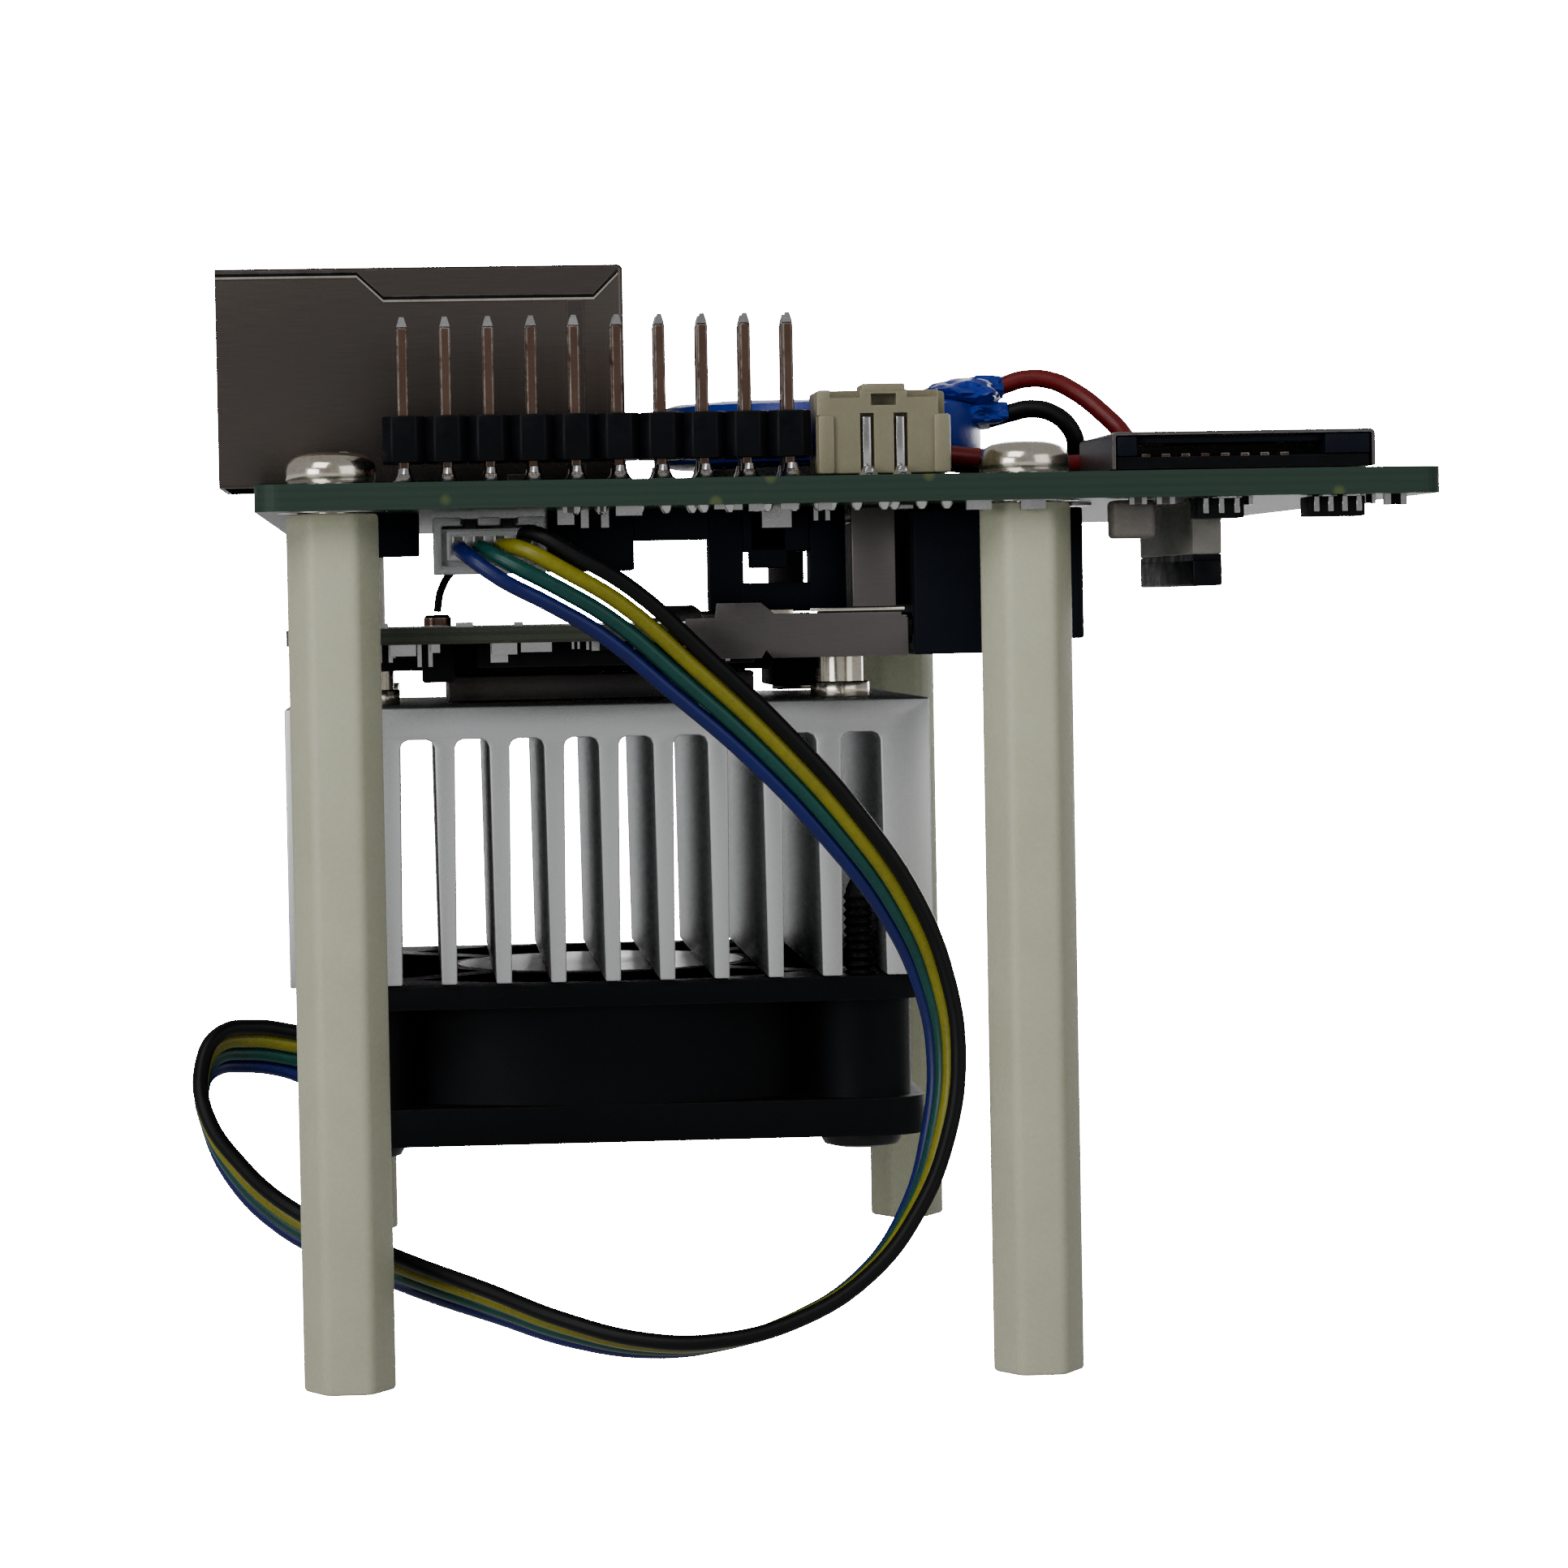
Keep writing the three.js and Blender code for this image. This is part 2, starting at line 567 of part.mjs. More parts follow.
// The pin header: one plastic block for each column of two pins, with bent feet on the front row.
function pinHeader() {
  const [y0, y1] = [HEADER_FRONT, HEADER_FRONT + 2 * PIN_PITCH];
  const low = ON_BOARD + HEADER_LIFT;
  const high = low + HEADER_HIGH;
  const half = PIN_PITCH / 2 + 0.01;
  const c = HEADER_CORNER;
  const bodies = [];
  for (let column = 0; column < PIN_COLUMNS; column += 1) {
    const x = HEADER_LEFT + (column + 0.5) * PIN_PITCH;
    const shape = outline([
      [x - half + c, y0], [x + half - c, y0], [x + half, y0 + c], [x + half, y1 - c],
      [x + half - c, y1], [x - half + c, y1], [x - half, y1 - c], [x - half, y0 + c],
    ]);
    bodies.push(plate(shape, low, high));
    for (const row of [0, 1]) {
      const y = y0 + (row + 0.5) * PIN_PITCH;
      const t = PIN_THICK / 2;
      const out = row === 0 ? -1 : 1;
      bodies.push(block(x - t, x + t, y - t, y + t, ON_BOARD, ON_BOARD + PIN_TOP));
      const toe = [y, y + out * FOOT_REACH].sort((a, b) => a - b);
      bodies.push(block(x - t, x + t, toe[0], toe[1], ON_BOARD, ON_BOARD + FOOT_THICK));
    }
  }
  return joined(bodies);
}

function batterySocket() {
  const [x0, x1] = [BATTERY_SOCKET_LEFT, BATTERY_SOCKET_LEFT + BATTERY_SOCKET_WIDE];
  const [y0, y1] = [BATTERY_SOCKET_FRONT, BATTERY_SOCKET_BACK];
  const body = block(x0, x1, y0, y1, ON_BOARD, ON_BOARD + BATTERY_SOCKET_HIGH);
  const middle = BATTERY_SOCKET_X;
  const low = ON_BOARD + (BATTERY_SOCKET_HIGH - BATTERY_POCKET_HIGH) / 2;
  const pocket = block(
    middle - BATTERY_POCKET_WIDE / 2, middle + BATTERY_POCKET_WIDE / 2,
    y1 - BATTERY_POCKET_DEEP, y1 + 1, low, low + BATTERY_POCKET_HIGH,
  );
  return body.subtract(pocket);
}

function batteryPlug() {
  const middle = BATTERY_SOCKET_X;
  const half = BATTERY_POCKET_WIDE / 2 - FIT;
  const start = BATTERY_SOCKET_BACK - BATTERY_POCKET_DEEP + FIT;
  const low = ON_BOARD + (BATTERY_SOCKET_HIGH - BATTERY_POCKET_HIGH) / 2 + FIT;
  const high = low + BATTERY_POCKET_HIGH - 2 * FIT;
  return block(middle - half, middle + half, start, start + BATTERY_PLUG_LONG, low, high);
}

// The coin cell in its shrunk sleeve, with the sleeve's flattened end on the right.
function coinCell() {
  const r = CELL_WIDE / 2;
  const edge = 0.7;
  const profile = [
    [0, CELL_BOTTOM], [r - edge, CELL_BOTTOM], [r, CELL_BOTTOM + edge],
    [r, CELL_TOP - edge], [r - edge, CELL_TOP], [0, CELL_TOP],
  ];
  const cell = turned(profile, CELL_X, CELL_Y, 32);
  const half = FLAP_WIDE / 2;
  const flap = block(CELL_X + r * 0.7, FLAP_END, CELL_Y - half, CELL_Y + half, CELL_BOTTOM + 0.4, CELL_TOP);
  const lobe = block(FLAP_END - LOBE_LONG, FLAP_END, CELL_Y - 1.2, CELL_Y + half, CELL_TOP - 1, CELL_TOP + FLAP_RISE);
  return joined([cell, flap, lobe]);
}

function cellPad() {
  return rod(CELL_X, CELL_Y, CELL_PAD_WIDE / 2, ON_BOARD, ON_BOARD + CELL_PAD_THICK, 24);
}

const CARD_LEFT = BOARD_WIDTH - CARD_RIGHT - CARD_WIDE;

function cardShell() {
  const [x0, x1] = [CARD_LEFT, CARD_LEFT + CARD_WIDE];
  const [y0, y1] = [CARD_FRONT, CARD_FRONT + CARD_LONG];
  const outer = block(x0, x1, y0, y1, ON_BOARD, ON_BOARD + CARD_HIGH);
  const wall = CARD_WALL;
  const inner = block(x0 + wall, x1 - wall, y0 - 1, y1 - wall, ON_BOARD - 1, ON_BOARD + CARD_HIGH - wall);
  return outer.subtract(inner);
}

function cardBase() {
  const gap = CARD_WALL + SEAT;
  return block(
    CARD_LEFT + gap, CARD_LEFT + CARD_WIDE - gap, CARD_FRONT + FIT, CARD_FRONT + CARD_LONG - gap,
    ON_BOARD, ON_BOARD + CARD_BASE_THICK,
  );
}

// The module socket: a long housing with the slot for the module's edge on its left side.
function moduleSocket() {
  const [x0, x1] = [SOCKET_LEFT, SOCKET_LEFT + SOCKET_WIDE];
  const [y0, y1] = [MODULE_FRONT - SOCKET_END, MODULE_BACK + SOCKET_END];
  const housing = block(x0, x1, y0, y1, SOCKET_BOTTOM, SOCKET_TOP);
  const slot = block(
    x0 - 1, MODULE_RIGHT + FIT, MODULE_FRONT - FIT, MODULE_BACK + FIT, MODULE_BOTTOM - FIT, MODULE_TOP + FIT,
  );
  const step = block(
    x1 - SOCKET_STEP_WIDE, x1 + 1, y0 - 1, y1 + 1, SOCKET_BOTTOM - 1, SOCKET_BOTTOM + SOCKET_STEP,
  );
  return cut(housing, [slot, step]);
}

// A latch arm beside one end of the module. side is -1 at the front and 1 at the back.
const LATCH_ROOT = SOCKET_LEFT - FIT;
const LATCH_TIP = SOCKET_LEFT - LATCH_REACH;
const LATCH_BOTTOM = MODULE_BOTTOM - 1.2;

function latchBand(side) {
  const edge = side < 0 ? MODULE_FRONT : MODULE_BACK;
  const inner = edge + side * LATCH_SIDE_GAP;
  return { edge, inner, outer: inner + side * LATCH_THICK };
}

function between(a, b) {
  return [Math.min(a, b), Math.max(a, b)];
}

function latch(side) {
  const { edge, inner, outer } = latchBand(side);
  const [tip, root, low] = [LATCH_TIP, LATCH_ROOT, LATCH_BOTTOM];
  const high = low + LATCH_HIGH;
  const arm = outline([
    [tip + 1.4, low + 0.25], [tip + 2.2, low], [tip + 4.6, low], [tip + 4.9, low + 0.5],
    [tip + 5.3, low], [root, low], [root, high - 0.35], [root - 1.6, high],
    [tip + 5.4, high], [tip + 5.2, high + 0.2], [tip + 4.6, high + 0.7], [tip + 1.9, high + 0.7],
    [tip + 1.8, high - 0.2], [tip, high - 0.2], [tip, low + 1.5],
  ]);
  const hookStart = tip + 3.6;
  const under = MODULE_BOTTOM - FIT;
  const hook = block(
    hookStart, hookStart + LATCH_HOOK_WIDE, ...between(outer, edge - side * LATCH_HOOK_LAP), under - 0.4, under,
  );
  const flangeEnd = root - 0.4;
  const flange = block(
    flangeEnd - LATCH_FLANGE_LONG, flangeEnd, ...between(outer, inner - side * LATCH_FLANGE), high - LATCH_THICK, high,
  );
  return joined([profileAlongY(arm, ...between(inner, outer)), hook, flange]);
}

function latchBracket(side) {
  const { inner, outer } = latchBand(side);
  const right = SOCKET_LEFT - BRACKET_FROM_SOCKET;
  const low = LATCH_BOTTOM + LATCH_HIGH + FIT;
  const post = block(right - BRACKET_WIDE, right, ...between(inner, outer), low, UNDER_BOARD);
  const foot = block(
    right - BRACKET_WIDE + 0.5, right - 0.5, ...between(outer, outer + side * BRACKET_FOOT * -1),
    UNDER_BOARD - LATCH_THICK, UNDER_BOARD,
  );
  return post.add(foot);
}

function moduleBoard() {
  const sheet = block(MODULE_LEFT, MODULE_RIGHT, MODULE_FRONT, MODULE_BACK, MODULE_BOTTOM, MODULE_TOP);
  const x = MODULE_RIGHT - MODULE_NOTCH_FROM_EDGE;
  const notches = [MODULE_FRONT, MODULE_BACK].map((y) => {
    return rod(x, y, MODULE_NOTCH, MODULE_BOTTOM - 1, MODULE_TOP + 1);
  });
  return cut(sheet, notches);
}

function processor() {
  const half = PROCESSOR / 2;
  const top = MODULE_BOTTOM - SEAT;
  return block(
    HEATSINK_X - half, HEATSINK_X + half, HEATSINK_Y - half, HEATSINK_Y + half, top - PROCESSOR_THICK, top,
  );
}

// The plate that fills the space between the processor and the heatsink.
function heatSpreader() {
  const half = PROCESSOR / 2 - 1;
  const top = MODULE_BOTTOM - 2 * SEAT - PROCESSOR_THICK;
  return block(
    HEATSINK_X - half, HEATSINK_X + half, HEATSINK_Y - half, HEATSINK_Y + half, HEATSINK_TOP + SEAT, top,
  );
}

function memoryChip(column) {
  const x = HEATSINK_X + column * (MEMORY_WIDE + MEMORY_GAP) / 2;
  const y = HEATSINK_Y + HEATSINK_LONG / 2 + MEMORY_GAP;
  const top = MODULE_BOTTOM - SEAT;
  return block(x - MEMORY_WIDE / 2, x + MEMORY_WIDE / 2, y, y + MEMORY_LONG, top - MEMORY_THICK, top);
}

function aerialSocket() {
  const r = AERIAL_SOCKET / 2;
  const z0 = MODULE_TOP + SEAT;
  return rod(AERIAL_SOCKET_X, AERIAL_SOCKET_Y, r, z0, z0 + AERIAL_SOCKET_HIGH - 0.8, 12);
}

// The heatsink: one extrusion, with slots that widen a little towards the fin tips. The outer slots take
// the fan's screws.
function heatsink() {
  const half = HEATSINK_WIDE / 2;
  const inner = FAN_HOLE - SCREW_SLOT / 2 - RIB_THICK;
  const pitch = (2 * inner - FIN_SLOT) / (FIN_SLOTS - 1);
  const slots = [{ x: -FAN_HOLE, wide: SCREW_SLOT }];
  for (let i = 0; i < FIN_SLOTS; i += 1) {
    slots.push({ x: (i - (FIN_SLOTS - 1) / 2) * pitch, wide: FIN_SLOT });
  }
  slots.push({ x: FAN_HOLE, wide: SCREW_SLOT });
  const roof = HEATSINK_TOP - HEATSINK_BASE;
  const c = FIN_SLOT_CORNER;
  const points = [[-half, HEATSINK_TOP], [-half, HEATSINK_BOTTOM]];
  for (const { x, wide } of slots) {
    const [top, tip] = [wide / 2, wide / 2 + FIN_TAPER];
    points.push([x - tip, HEATSINK_BOTTOM], [x - top, roof - c], [x - top + 0.3 * c, roof - 0.3 * c]);
    points.push([x - top + c, roof], [x + top - c, roof]);
    points.push([x + top - 0.3 * c, roof - 0.3 * c], [x + top, roof - c], [x + tip, HEATSINK_BOTTOM]);
  }
  points.push([half, HEATSINK_BOTTOM], [half, HEATSINK_TOP]);
  const shape = outline(points.map(([x, z]) => [HEATSINK_X + x, z]));
  return profileAlongY(shape, HEATSINK_Y - HEATSINK_LONG / 2, HEATSINK_Y + HEATSINK_LONG / 2);
}

// A spring screw between the module and the heatsink.
function springScrew({ x, y }) {
  const px = HEATSINK_X + (x * SPRING_SPAN_X) / 2;
  const py = HEATSINK_Y + (y * SPRING_SPAN_Y) / 2;
  const [low, high] = [HEATSINK_TOP + SEAT, MODULE_BOTTOM - SEAT];
  const [post, head] = [SPRING_POST / 2, SPRING_SCREW_HEAD / 2];
  const profile = [
    [0, low], [head, low], [head, low + SPRING_SCREW_HEAD_HIGH], [post, low + SPRING_SCREW_HEAD_HIGH],
    [post, high], [0, high],
  ];
  return turned(profile, px, py, 12);
}

function fanFrame() {
  const half = FAN_SIZE / 2;
  const square = roundedRectangle(-half, half, -half, half, FAN_CORNER);
  const upper = plate(square, FAN_TOP - FAN_TOP_FLANGE, FAN_TOP);
  const lower = plate(square, FAN_BOTTOM, FAN_BOTTOM + FAN_LOWER_FLANGE);
  const barrel = rod(0, 0, FAN_BORE / 2 + FAN_WALL, FAN_BOTTOM, FAN_TOP, 40);
  const posts = CORNERS.map(({ x, y }) => rod(x * FAN_HOLE, y * FAN_HOLE, FAN_POST / 2, FAN_BOTTOM, FAN_TOP));
  const bore = rod(0, 0, FAN_BORE / 2, FAN_BOTTOM - 1, FAN_TOP + 1, 40);
  const holes = CORNERS.map(({ x, y }) => {
    return rod(x * FAN_HOLE, y * FAN_HOLE, FAN_SCREW / 2 + FIT, FAN_BOTTOM - 1, FAN_TOP + 1, 12);
  });
  const housing = cut(joined([upper, lower, barrel, ...posts]), [bore, ...holes]);
  const floor = FAN_TOP - FAN_STRUT_THICK;
  const plateRound = rod(0, 0, FAN_MOTOR / 2, floor, FAN_TOP, 32);
  const bearingLow = FAN_BOTTOM + FAN_HUB_WALL + 1.6;
  const bearing = rod(0, 0, FAN_BEARING / 2, bearingLow, FAN_TOP, 16);
  const struts = [];
  for (let i = 0; i < FAN_STRUTS; i += 1) {
    const bar = block(FAN_MOTOR / 2 - 1, FAN_BORE / 2 + FAN_WALL / 2, -FAN_STRUT_WIDE / 2, FAN_STRUT_WIDE / 2, floor, FAN_TOP);
    struts.push(bar.rotate([0, 0, 45 + (360 * i) / FAN_STRUTS]));
  }
  const shaftHole = rod(0, 0, FAN_SHAFT / 2 + FAN_AXLE_CLEARANCE, bearingLow - 1, FAN_TOP - 0.6, 24);
  return joined([housing, plateRound, bearing, ...struts]).subtract(shaftHole).translate([HEATSINK_X, HEATSINK_Y, 0]);
}

function fanRotor() {
  const low = FAN_BOTTOM + 0.4;
  const high = FAN_TOP - FAN_STRUT_THICK - FIT;
  const r = FAN_MOTOR / 2;
  const cap = [
    [0, low], [r - 0.5, low], [r, low + 0.5], [r, high], [r - FAN_HUB_WALL, high],
    [r - FAN_HUB_WALL, low + FAN_HUB_WALL], [0, low + FAN_HUB_WALL],
  ];
  const shaft = rod(0, 0, FAN_SHAFT / 2, low, FAN_TOP - 1.2, 24);
  const tip = FAN_BORE / 2 - FAN_TIP_GAP;
  const blades = [];
  for (let i = 0; i < FAN_BLADES; i += 1) {
    const half = FAN_BLADE_CHORD / 2;
    const thin = FAN_BLADE_THICK / 2;
    const blade = block(r - 0.6, tip + 2, -half, half, -thin, thin);
    const tilted = blade.rotate([FAN_BLADE_PITCH, 0, 0]).translate([0, 0, (low + high) / 2]);
    blades.push(tilted.rotate([0, 0, (360 * i) / FAN_BLADES]));
  }
  const room = rod(0, 0, tip, low + 0.3, high, 48);
  const ring = room.subtract(rod(0, 0, r - 0.5, low - 1, high + 1, 32));
  const trimmed = joined(blades).intersect(ring);
  return joined([turned(cap, 0, 0, 32), shaft, trimmed]).translate([HEATSINK_X, HEATSINK_Y, 0]);
}

function fanScrew({ x, y }) {
  const under = FAN_BOTTOM - SEAT;
  const head = FAN_SCREW_HEAD / 2;
  const tip = HEATSINK_BOTTOM + FAN_SCREW_BITE;
  const profile = [
    [0, under - FAN_SCREW_HEAD_HIGH], [head * 0.7, under - FAN_SCREW_HEAD_HIGH], [head, under - 0.3],
    [head, under], [FAN_SCREW / 2, under], [FAN_SCREW / 2, tip - 0.6], [FAN_SCREW / 4, tip], [0, tip],
  ];
  return turned(profile, HEATSINK_X + x * FAN_HOLE, HEATSINK_Y + y * FAN_HOLE, 12);
}

// The fan's connector: an open-fronted socket under the board, with notches along its upper edge.
function fanSocket() {
  const [x0, x1] = [FAN_SOCKET_LEFT, FAN_SOCKET_LEFT + FAN_SOCKET_WIDE];
  const [y0, y1] = [FAN_SOCKET_FRONT, FAN_SOCKET_FRONT + FAN_SOCKET_LONG];
  const top = LEG_LENGTH - FAN_SOCKET_LIFT;
  const low = top - FAN_SOCKET_HIGH;
  const wall = FAN_SOCKET_WALL;
  const body = block(x0, x1, y0, y1, low, top);
  const pocket = block(x0 + wall, x1 - wall, y0 - 1, y1 - wall, low + wall, top - wall);
  const third = FAN_SOCKET_WIDE / 3;
  const notches = [1, 2].map((n) => {
    return block(x0 + n * third - 0.45, x0 + n * third + 0.45, y0 - 1, y1 - wall, top - wall - 0.2, top + 1);
  });
  return cut(body, [pocket, ...notches]);
}

function fanPlug() {
  const gap = FAN_SOCKET_WALL + FIT;
  const top = LEG_LENGTH - FAN_SOCKET_LIFT;
  return block(
    FAN_SOCKET_LEFT + gap, FAN_SOCKET_LEFT + FAN_SOCKET_WIDE - gap,
    FAN_SOCKET_FRONT - FAN_PLUG_SHOW, FAN_SOCKET_FRONT + FAN_SOCKET_LONG - gap,
    top - FAN_SOCKET_HIGH + gap, top - gap,
  );
}

// The camera ribbon connector: a body with a slot along its lower side, closed by a sliding lock.
const CAMERA_LEFT = BOARD_WIDTH - CAMERA_FROM_RIGHT - CAMERA_WIDE;

function cameraSocket() {
  const [x0, x1] = [CAMERA_LEFT, CAMERA_LEFT + CAMERA_WIDE];
  const [y0, y1] = [CAMERA_FRONT, CAMERA_FRONT + CAMERA_LONG];
  const low = UNDER_BOARD - CAMERA_HIGH + CAMERA_LOCK_HIGH + FIT;
  const body = block(x0, x1, y0, y1, low, UNDER_BOARD);
  const middle = (x0 + x1) / 2;
  const slot = block(middle - CAMERA_SLOT / 2, middle + CAMERA_SLOT / 2, y0 + 1, y1 - 1, low - 1, low + 2.2);
  return body.subtract(slot);
}

function cameraLock() {
  const [y0, y1] = [CAMERA_FRONT, CAMERA_FRONT + CAMERA_LONG];
  const low = UNDER_BOARD - CAMERA_HIGH;
  const body = block(CAMERA_LEFT, CAMERA_LEFT + CAMERA_WIDE, y0, y1, low, low + CAMERA_LOCK_HIGH);
  const middle = CAMERA_LEFT + CAMERA_WIDE / 2;
  const half = CAMERA_SLOT / 2;
  const slot = block(middle - half, middle + half, y0 + 1, y1 - 1, low - 1, low + CAMERA_LOCK_HIGH + 1);
  return body.subtract(slot);
}

function coil() {
  const half = COIL_WIDE / 2;
  const front = CHIP_FRONT + 1.4;
  return block(COIL_X - half, COIL_X + half, front, front + COIL_WIDE, UNDER_BOARD - COIL_HIGH, UNDER_BOARD);
}

function driverChip({ fromRight, wide }) {
  const x = BOARD_WIDTH - fromRight;
  return block(x - wide / 2, x + wide / 2, CHIP_FRONT, CHIP_FRONT + CHIP_LONG, UNDER_BOARD - CHIP_HIGH, UNDER_BOARD);
}

function topChip({ x, y, wide, long, high }) {
  return block(x - wide / 2, x + wide / 2, y - long / 2, y + long / 2, ON_BOARD, ON_BOARD + high);
}

// ---------- Assembly ----------

place('carrier_board', carrierBoard(), boardGreen);
for (const spot of LEGS) {
  place(`leg_${spot.name}`, leg(spot), nylon);
  place(`leg_screw_${spot.name}`, legScrew(spot), nickel);
}
place('network_jack_shell', jackShell(), steel);
place('network_jack_body', jackBody(), blackPlastic);
place('video_port_shell', portShell(VIDEO_FRONT, VIDEO_WIDE, VIDEO_LONG, VIDEO_HIGH), steel);
place(
  'video_port_tongue',
  portTongue(VIDEO_FRONT, VIDEO_WIDE, VIDEO_LONG, VIDEO_HIGH, VIDEO_TONGUE_THICK, 0.4),
  blackPlastic,
);
place('serial_port_shell', portShell(SERIAL_FRONT, SERIAL_WIDE, SERIAL_LONG, SERIAL_HIGH), steel);
place(
  'serial_port_tongue',
  portTongue(SERIAL_FRONT, SERIAL_WIDE, SERIAL_LONG, SERIAL_HIGH, TONGUE_THICK, 0.52),
  whitePlastic,
);
place('power_jack', powerJack(), blackPlastic);
place('pin_header', pinHeader(), blackPlastic);
place('battery_socket', batterySocket(), creamPlastic);
place('battery_plug', batteryPlug(), creamPlastic);
place('coin_cell', coinCell(), blueWrap);
place('cell_pad', cellPad(), foam);
place('card_slot_shell', cardShell(), steel);
place('card_slot_base', cardBase(), blackPlastic);
place('module_socket', moduleSocket(), blackPlastic);
place('latch_front', latch(-1), steel);
place('latch_back', latch(1), steel);
place('latch_bracket_front', latchBracket(-1), steel);
place('latch_bracket_back', latchBracket(1), steel);
place('module_board', moduleBoard(), moduleGreen);
place('processor', processor(), chipBlack);
place('heat_spreader', heatSpreader(), aluminium);
place('memory_chip_left', memoryChip(-1), chipBlack);
place('memory_chip_right', memoryChip(1), chipBlack);
place('aerial_socket', aerialSocket(), nickel);
place('heatsink', heatsink(), aluminium);
place('fan_frame', fanFrame(), blackPlastic);
place('fan_rotor', fanRotor(), blackPlastic);
for (const corner of CORNERS) {
  place(`spring_screw_${corner.name}`, springScrew(corner), nickel);
  place(`fan_screw_${corner.name}`, fanScrew(corner), steel);
}
place('fan_socket', fanSocket(), whitePlastic);
place('fan_plug', fanPlug(), whitePlastic);
place('camera_socket', cameraSocket(), beigePlastic);
place('camera_lock', cameraLock(), blackPlastic);
place('power_coil', coil(), ferrite);
for (const chip of CHIPS) place(chip.name, driverChip(chip), chipBlack);
for (const chip of TOP_CHIPS) place(chip.name, topChip(chip), chipBlack);

place('fan_lead', lead(FAN_LEAD_ROUTE, FAN_LEAD, 60), blackWire, leads);
place('battery_wire_red', lead(RED_WIRE_ROUTE, WIRE, 24), redWire, leads);
place('battery_wire_black', lead(BLACK_WIRE_ROUTE, WIRE, 24), blackWire, leads);
place('aerial_wire', lead(AERIAL_WIRE_ROUTE, AERIAL_WIRE, 24), blackWire, leads);

assembly.position.set(-(BOARD_WIDTH - JACK_OVERHANG) / 2, -BOARD_DEPTH / 2, 0);

const computer = new THREE.Group();
computer.add(assembly, leads);

export default computer;
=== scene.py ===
# %% [markdown]
# # A single board computer on four legs
# The machine is a green carrier board that stands on four nylon legs. Connectors, a clock battery and a
# pin header sit on its upper face. A smaller module is plugged in under it, and carries a finned heatsink
# and a fan. The solids already exist, so this lesson keeps every place and size that they give, and adds
# what the eye wants: rounded edges, contacts, solder, wires and finishes.
# %% Setup
import math
import random

import bmesh
import bpy
from mathutils import Matrix, Vector, noise


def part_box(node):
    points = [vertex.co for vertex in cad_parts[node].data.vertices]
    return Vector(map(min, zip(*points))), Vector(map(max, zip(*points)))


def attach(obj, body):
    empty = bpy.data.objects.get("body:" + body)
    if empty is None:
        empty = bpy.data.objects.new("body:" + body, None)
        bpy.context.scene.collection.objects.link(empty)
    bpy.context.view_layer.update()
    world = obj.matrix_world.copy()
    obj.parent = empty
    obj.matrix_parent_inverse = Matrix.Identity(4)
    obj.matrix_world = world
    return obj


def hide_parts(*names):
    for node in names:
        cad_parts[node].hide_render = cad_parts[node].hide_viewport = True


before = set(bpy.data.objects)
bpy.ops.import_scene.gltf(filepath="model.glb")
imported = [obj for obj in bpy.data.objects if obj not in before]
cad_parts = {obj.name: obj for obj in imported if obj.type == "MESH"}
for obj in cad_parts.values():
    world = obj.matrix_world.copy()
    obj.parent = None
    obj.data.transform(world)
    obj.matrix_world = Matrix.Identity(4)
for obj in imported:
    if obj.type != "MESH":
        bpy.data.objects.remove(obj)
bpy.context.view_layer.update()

MM = 0.001
scene = bpy.context.scene
print("solids:", len(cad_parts))

# %% [markdown]
# ## Camera
# The eye is about 30 cm in front of the board's front edge, a little below the board, and looks slightly
# down and to the right. A long lens keeps the depth of the board flat.
# %% Camera
EYE = Vector((-25.4, -344.5, 46.2)) * MM
LENS_MM = 116.7
SENSOR_MM = 36
TURN_RIGHT = math.radians(4.23)
TILT_DOWN = math.radians(1.96)
ROLL = math.radians(1.05)


def make_camera():
    data = bpy.data.cameras.new("camera")
    data.lens = LENS_MM
    data.sensor_width = SENSOR_MM
    data.clip_start = 0.01
    camera = bpy.data.objects.new("camera", data)
    scene.collection.objects.link(camera)
    aim = Matrix.Rotation(-TURN_RIGHT, 4, "Z") @ Matrix.Rotation(math.pi / 2 - TILT_DOWN, 4, "X")
    camera.matrix_world = Matrix.Translation(EYE) @ aim @ Matrix.Rotation(-ROLL, 4, "Z")
    scene.camera = camera
    return camera


print("lens:", make_camera().data.lens)

# %% [markdown]
# ## Bench and light
# A plain pale bench that runs far behind the machine, a bright even sky, and four soft lamps: one over
# the left shoulder, one low on the left, one on the right, and one behind that shines through the fins.
# The bench and the sky are bright to the eye, but light and mirror in the machine far less.
# %% Floor
def spread(tree, value, low, high, to_low=0.0, to_high=1.0):
    node = tree.nodes.new("ShaderNodeMapRange")
    for socket, number in zip(node.inputs[1:5], (low, high, to_low, to_high)):
        socket.default_value = number
    tree.links.new(value, node.inputs[0])
    return node.outputs[0]


FLOOR_REACH = 6.0
FLOOR_SEEN = 60.0
FLOOR_MIRRORED = 0.45
PALE = (0.2, 0.2, 0.2)


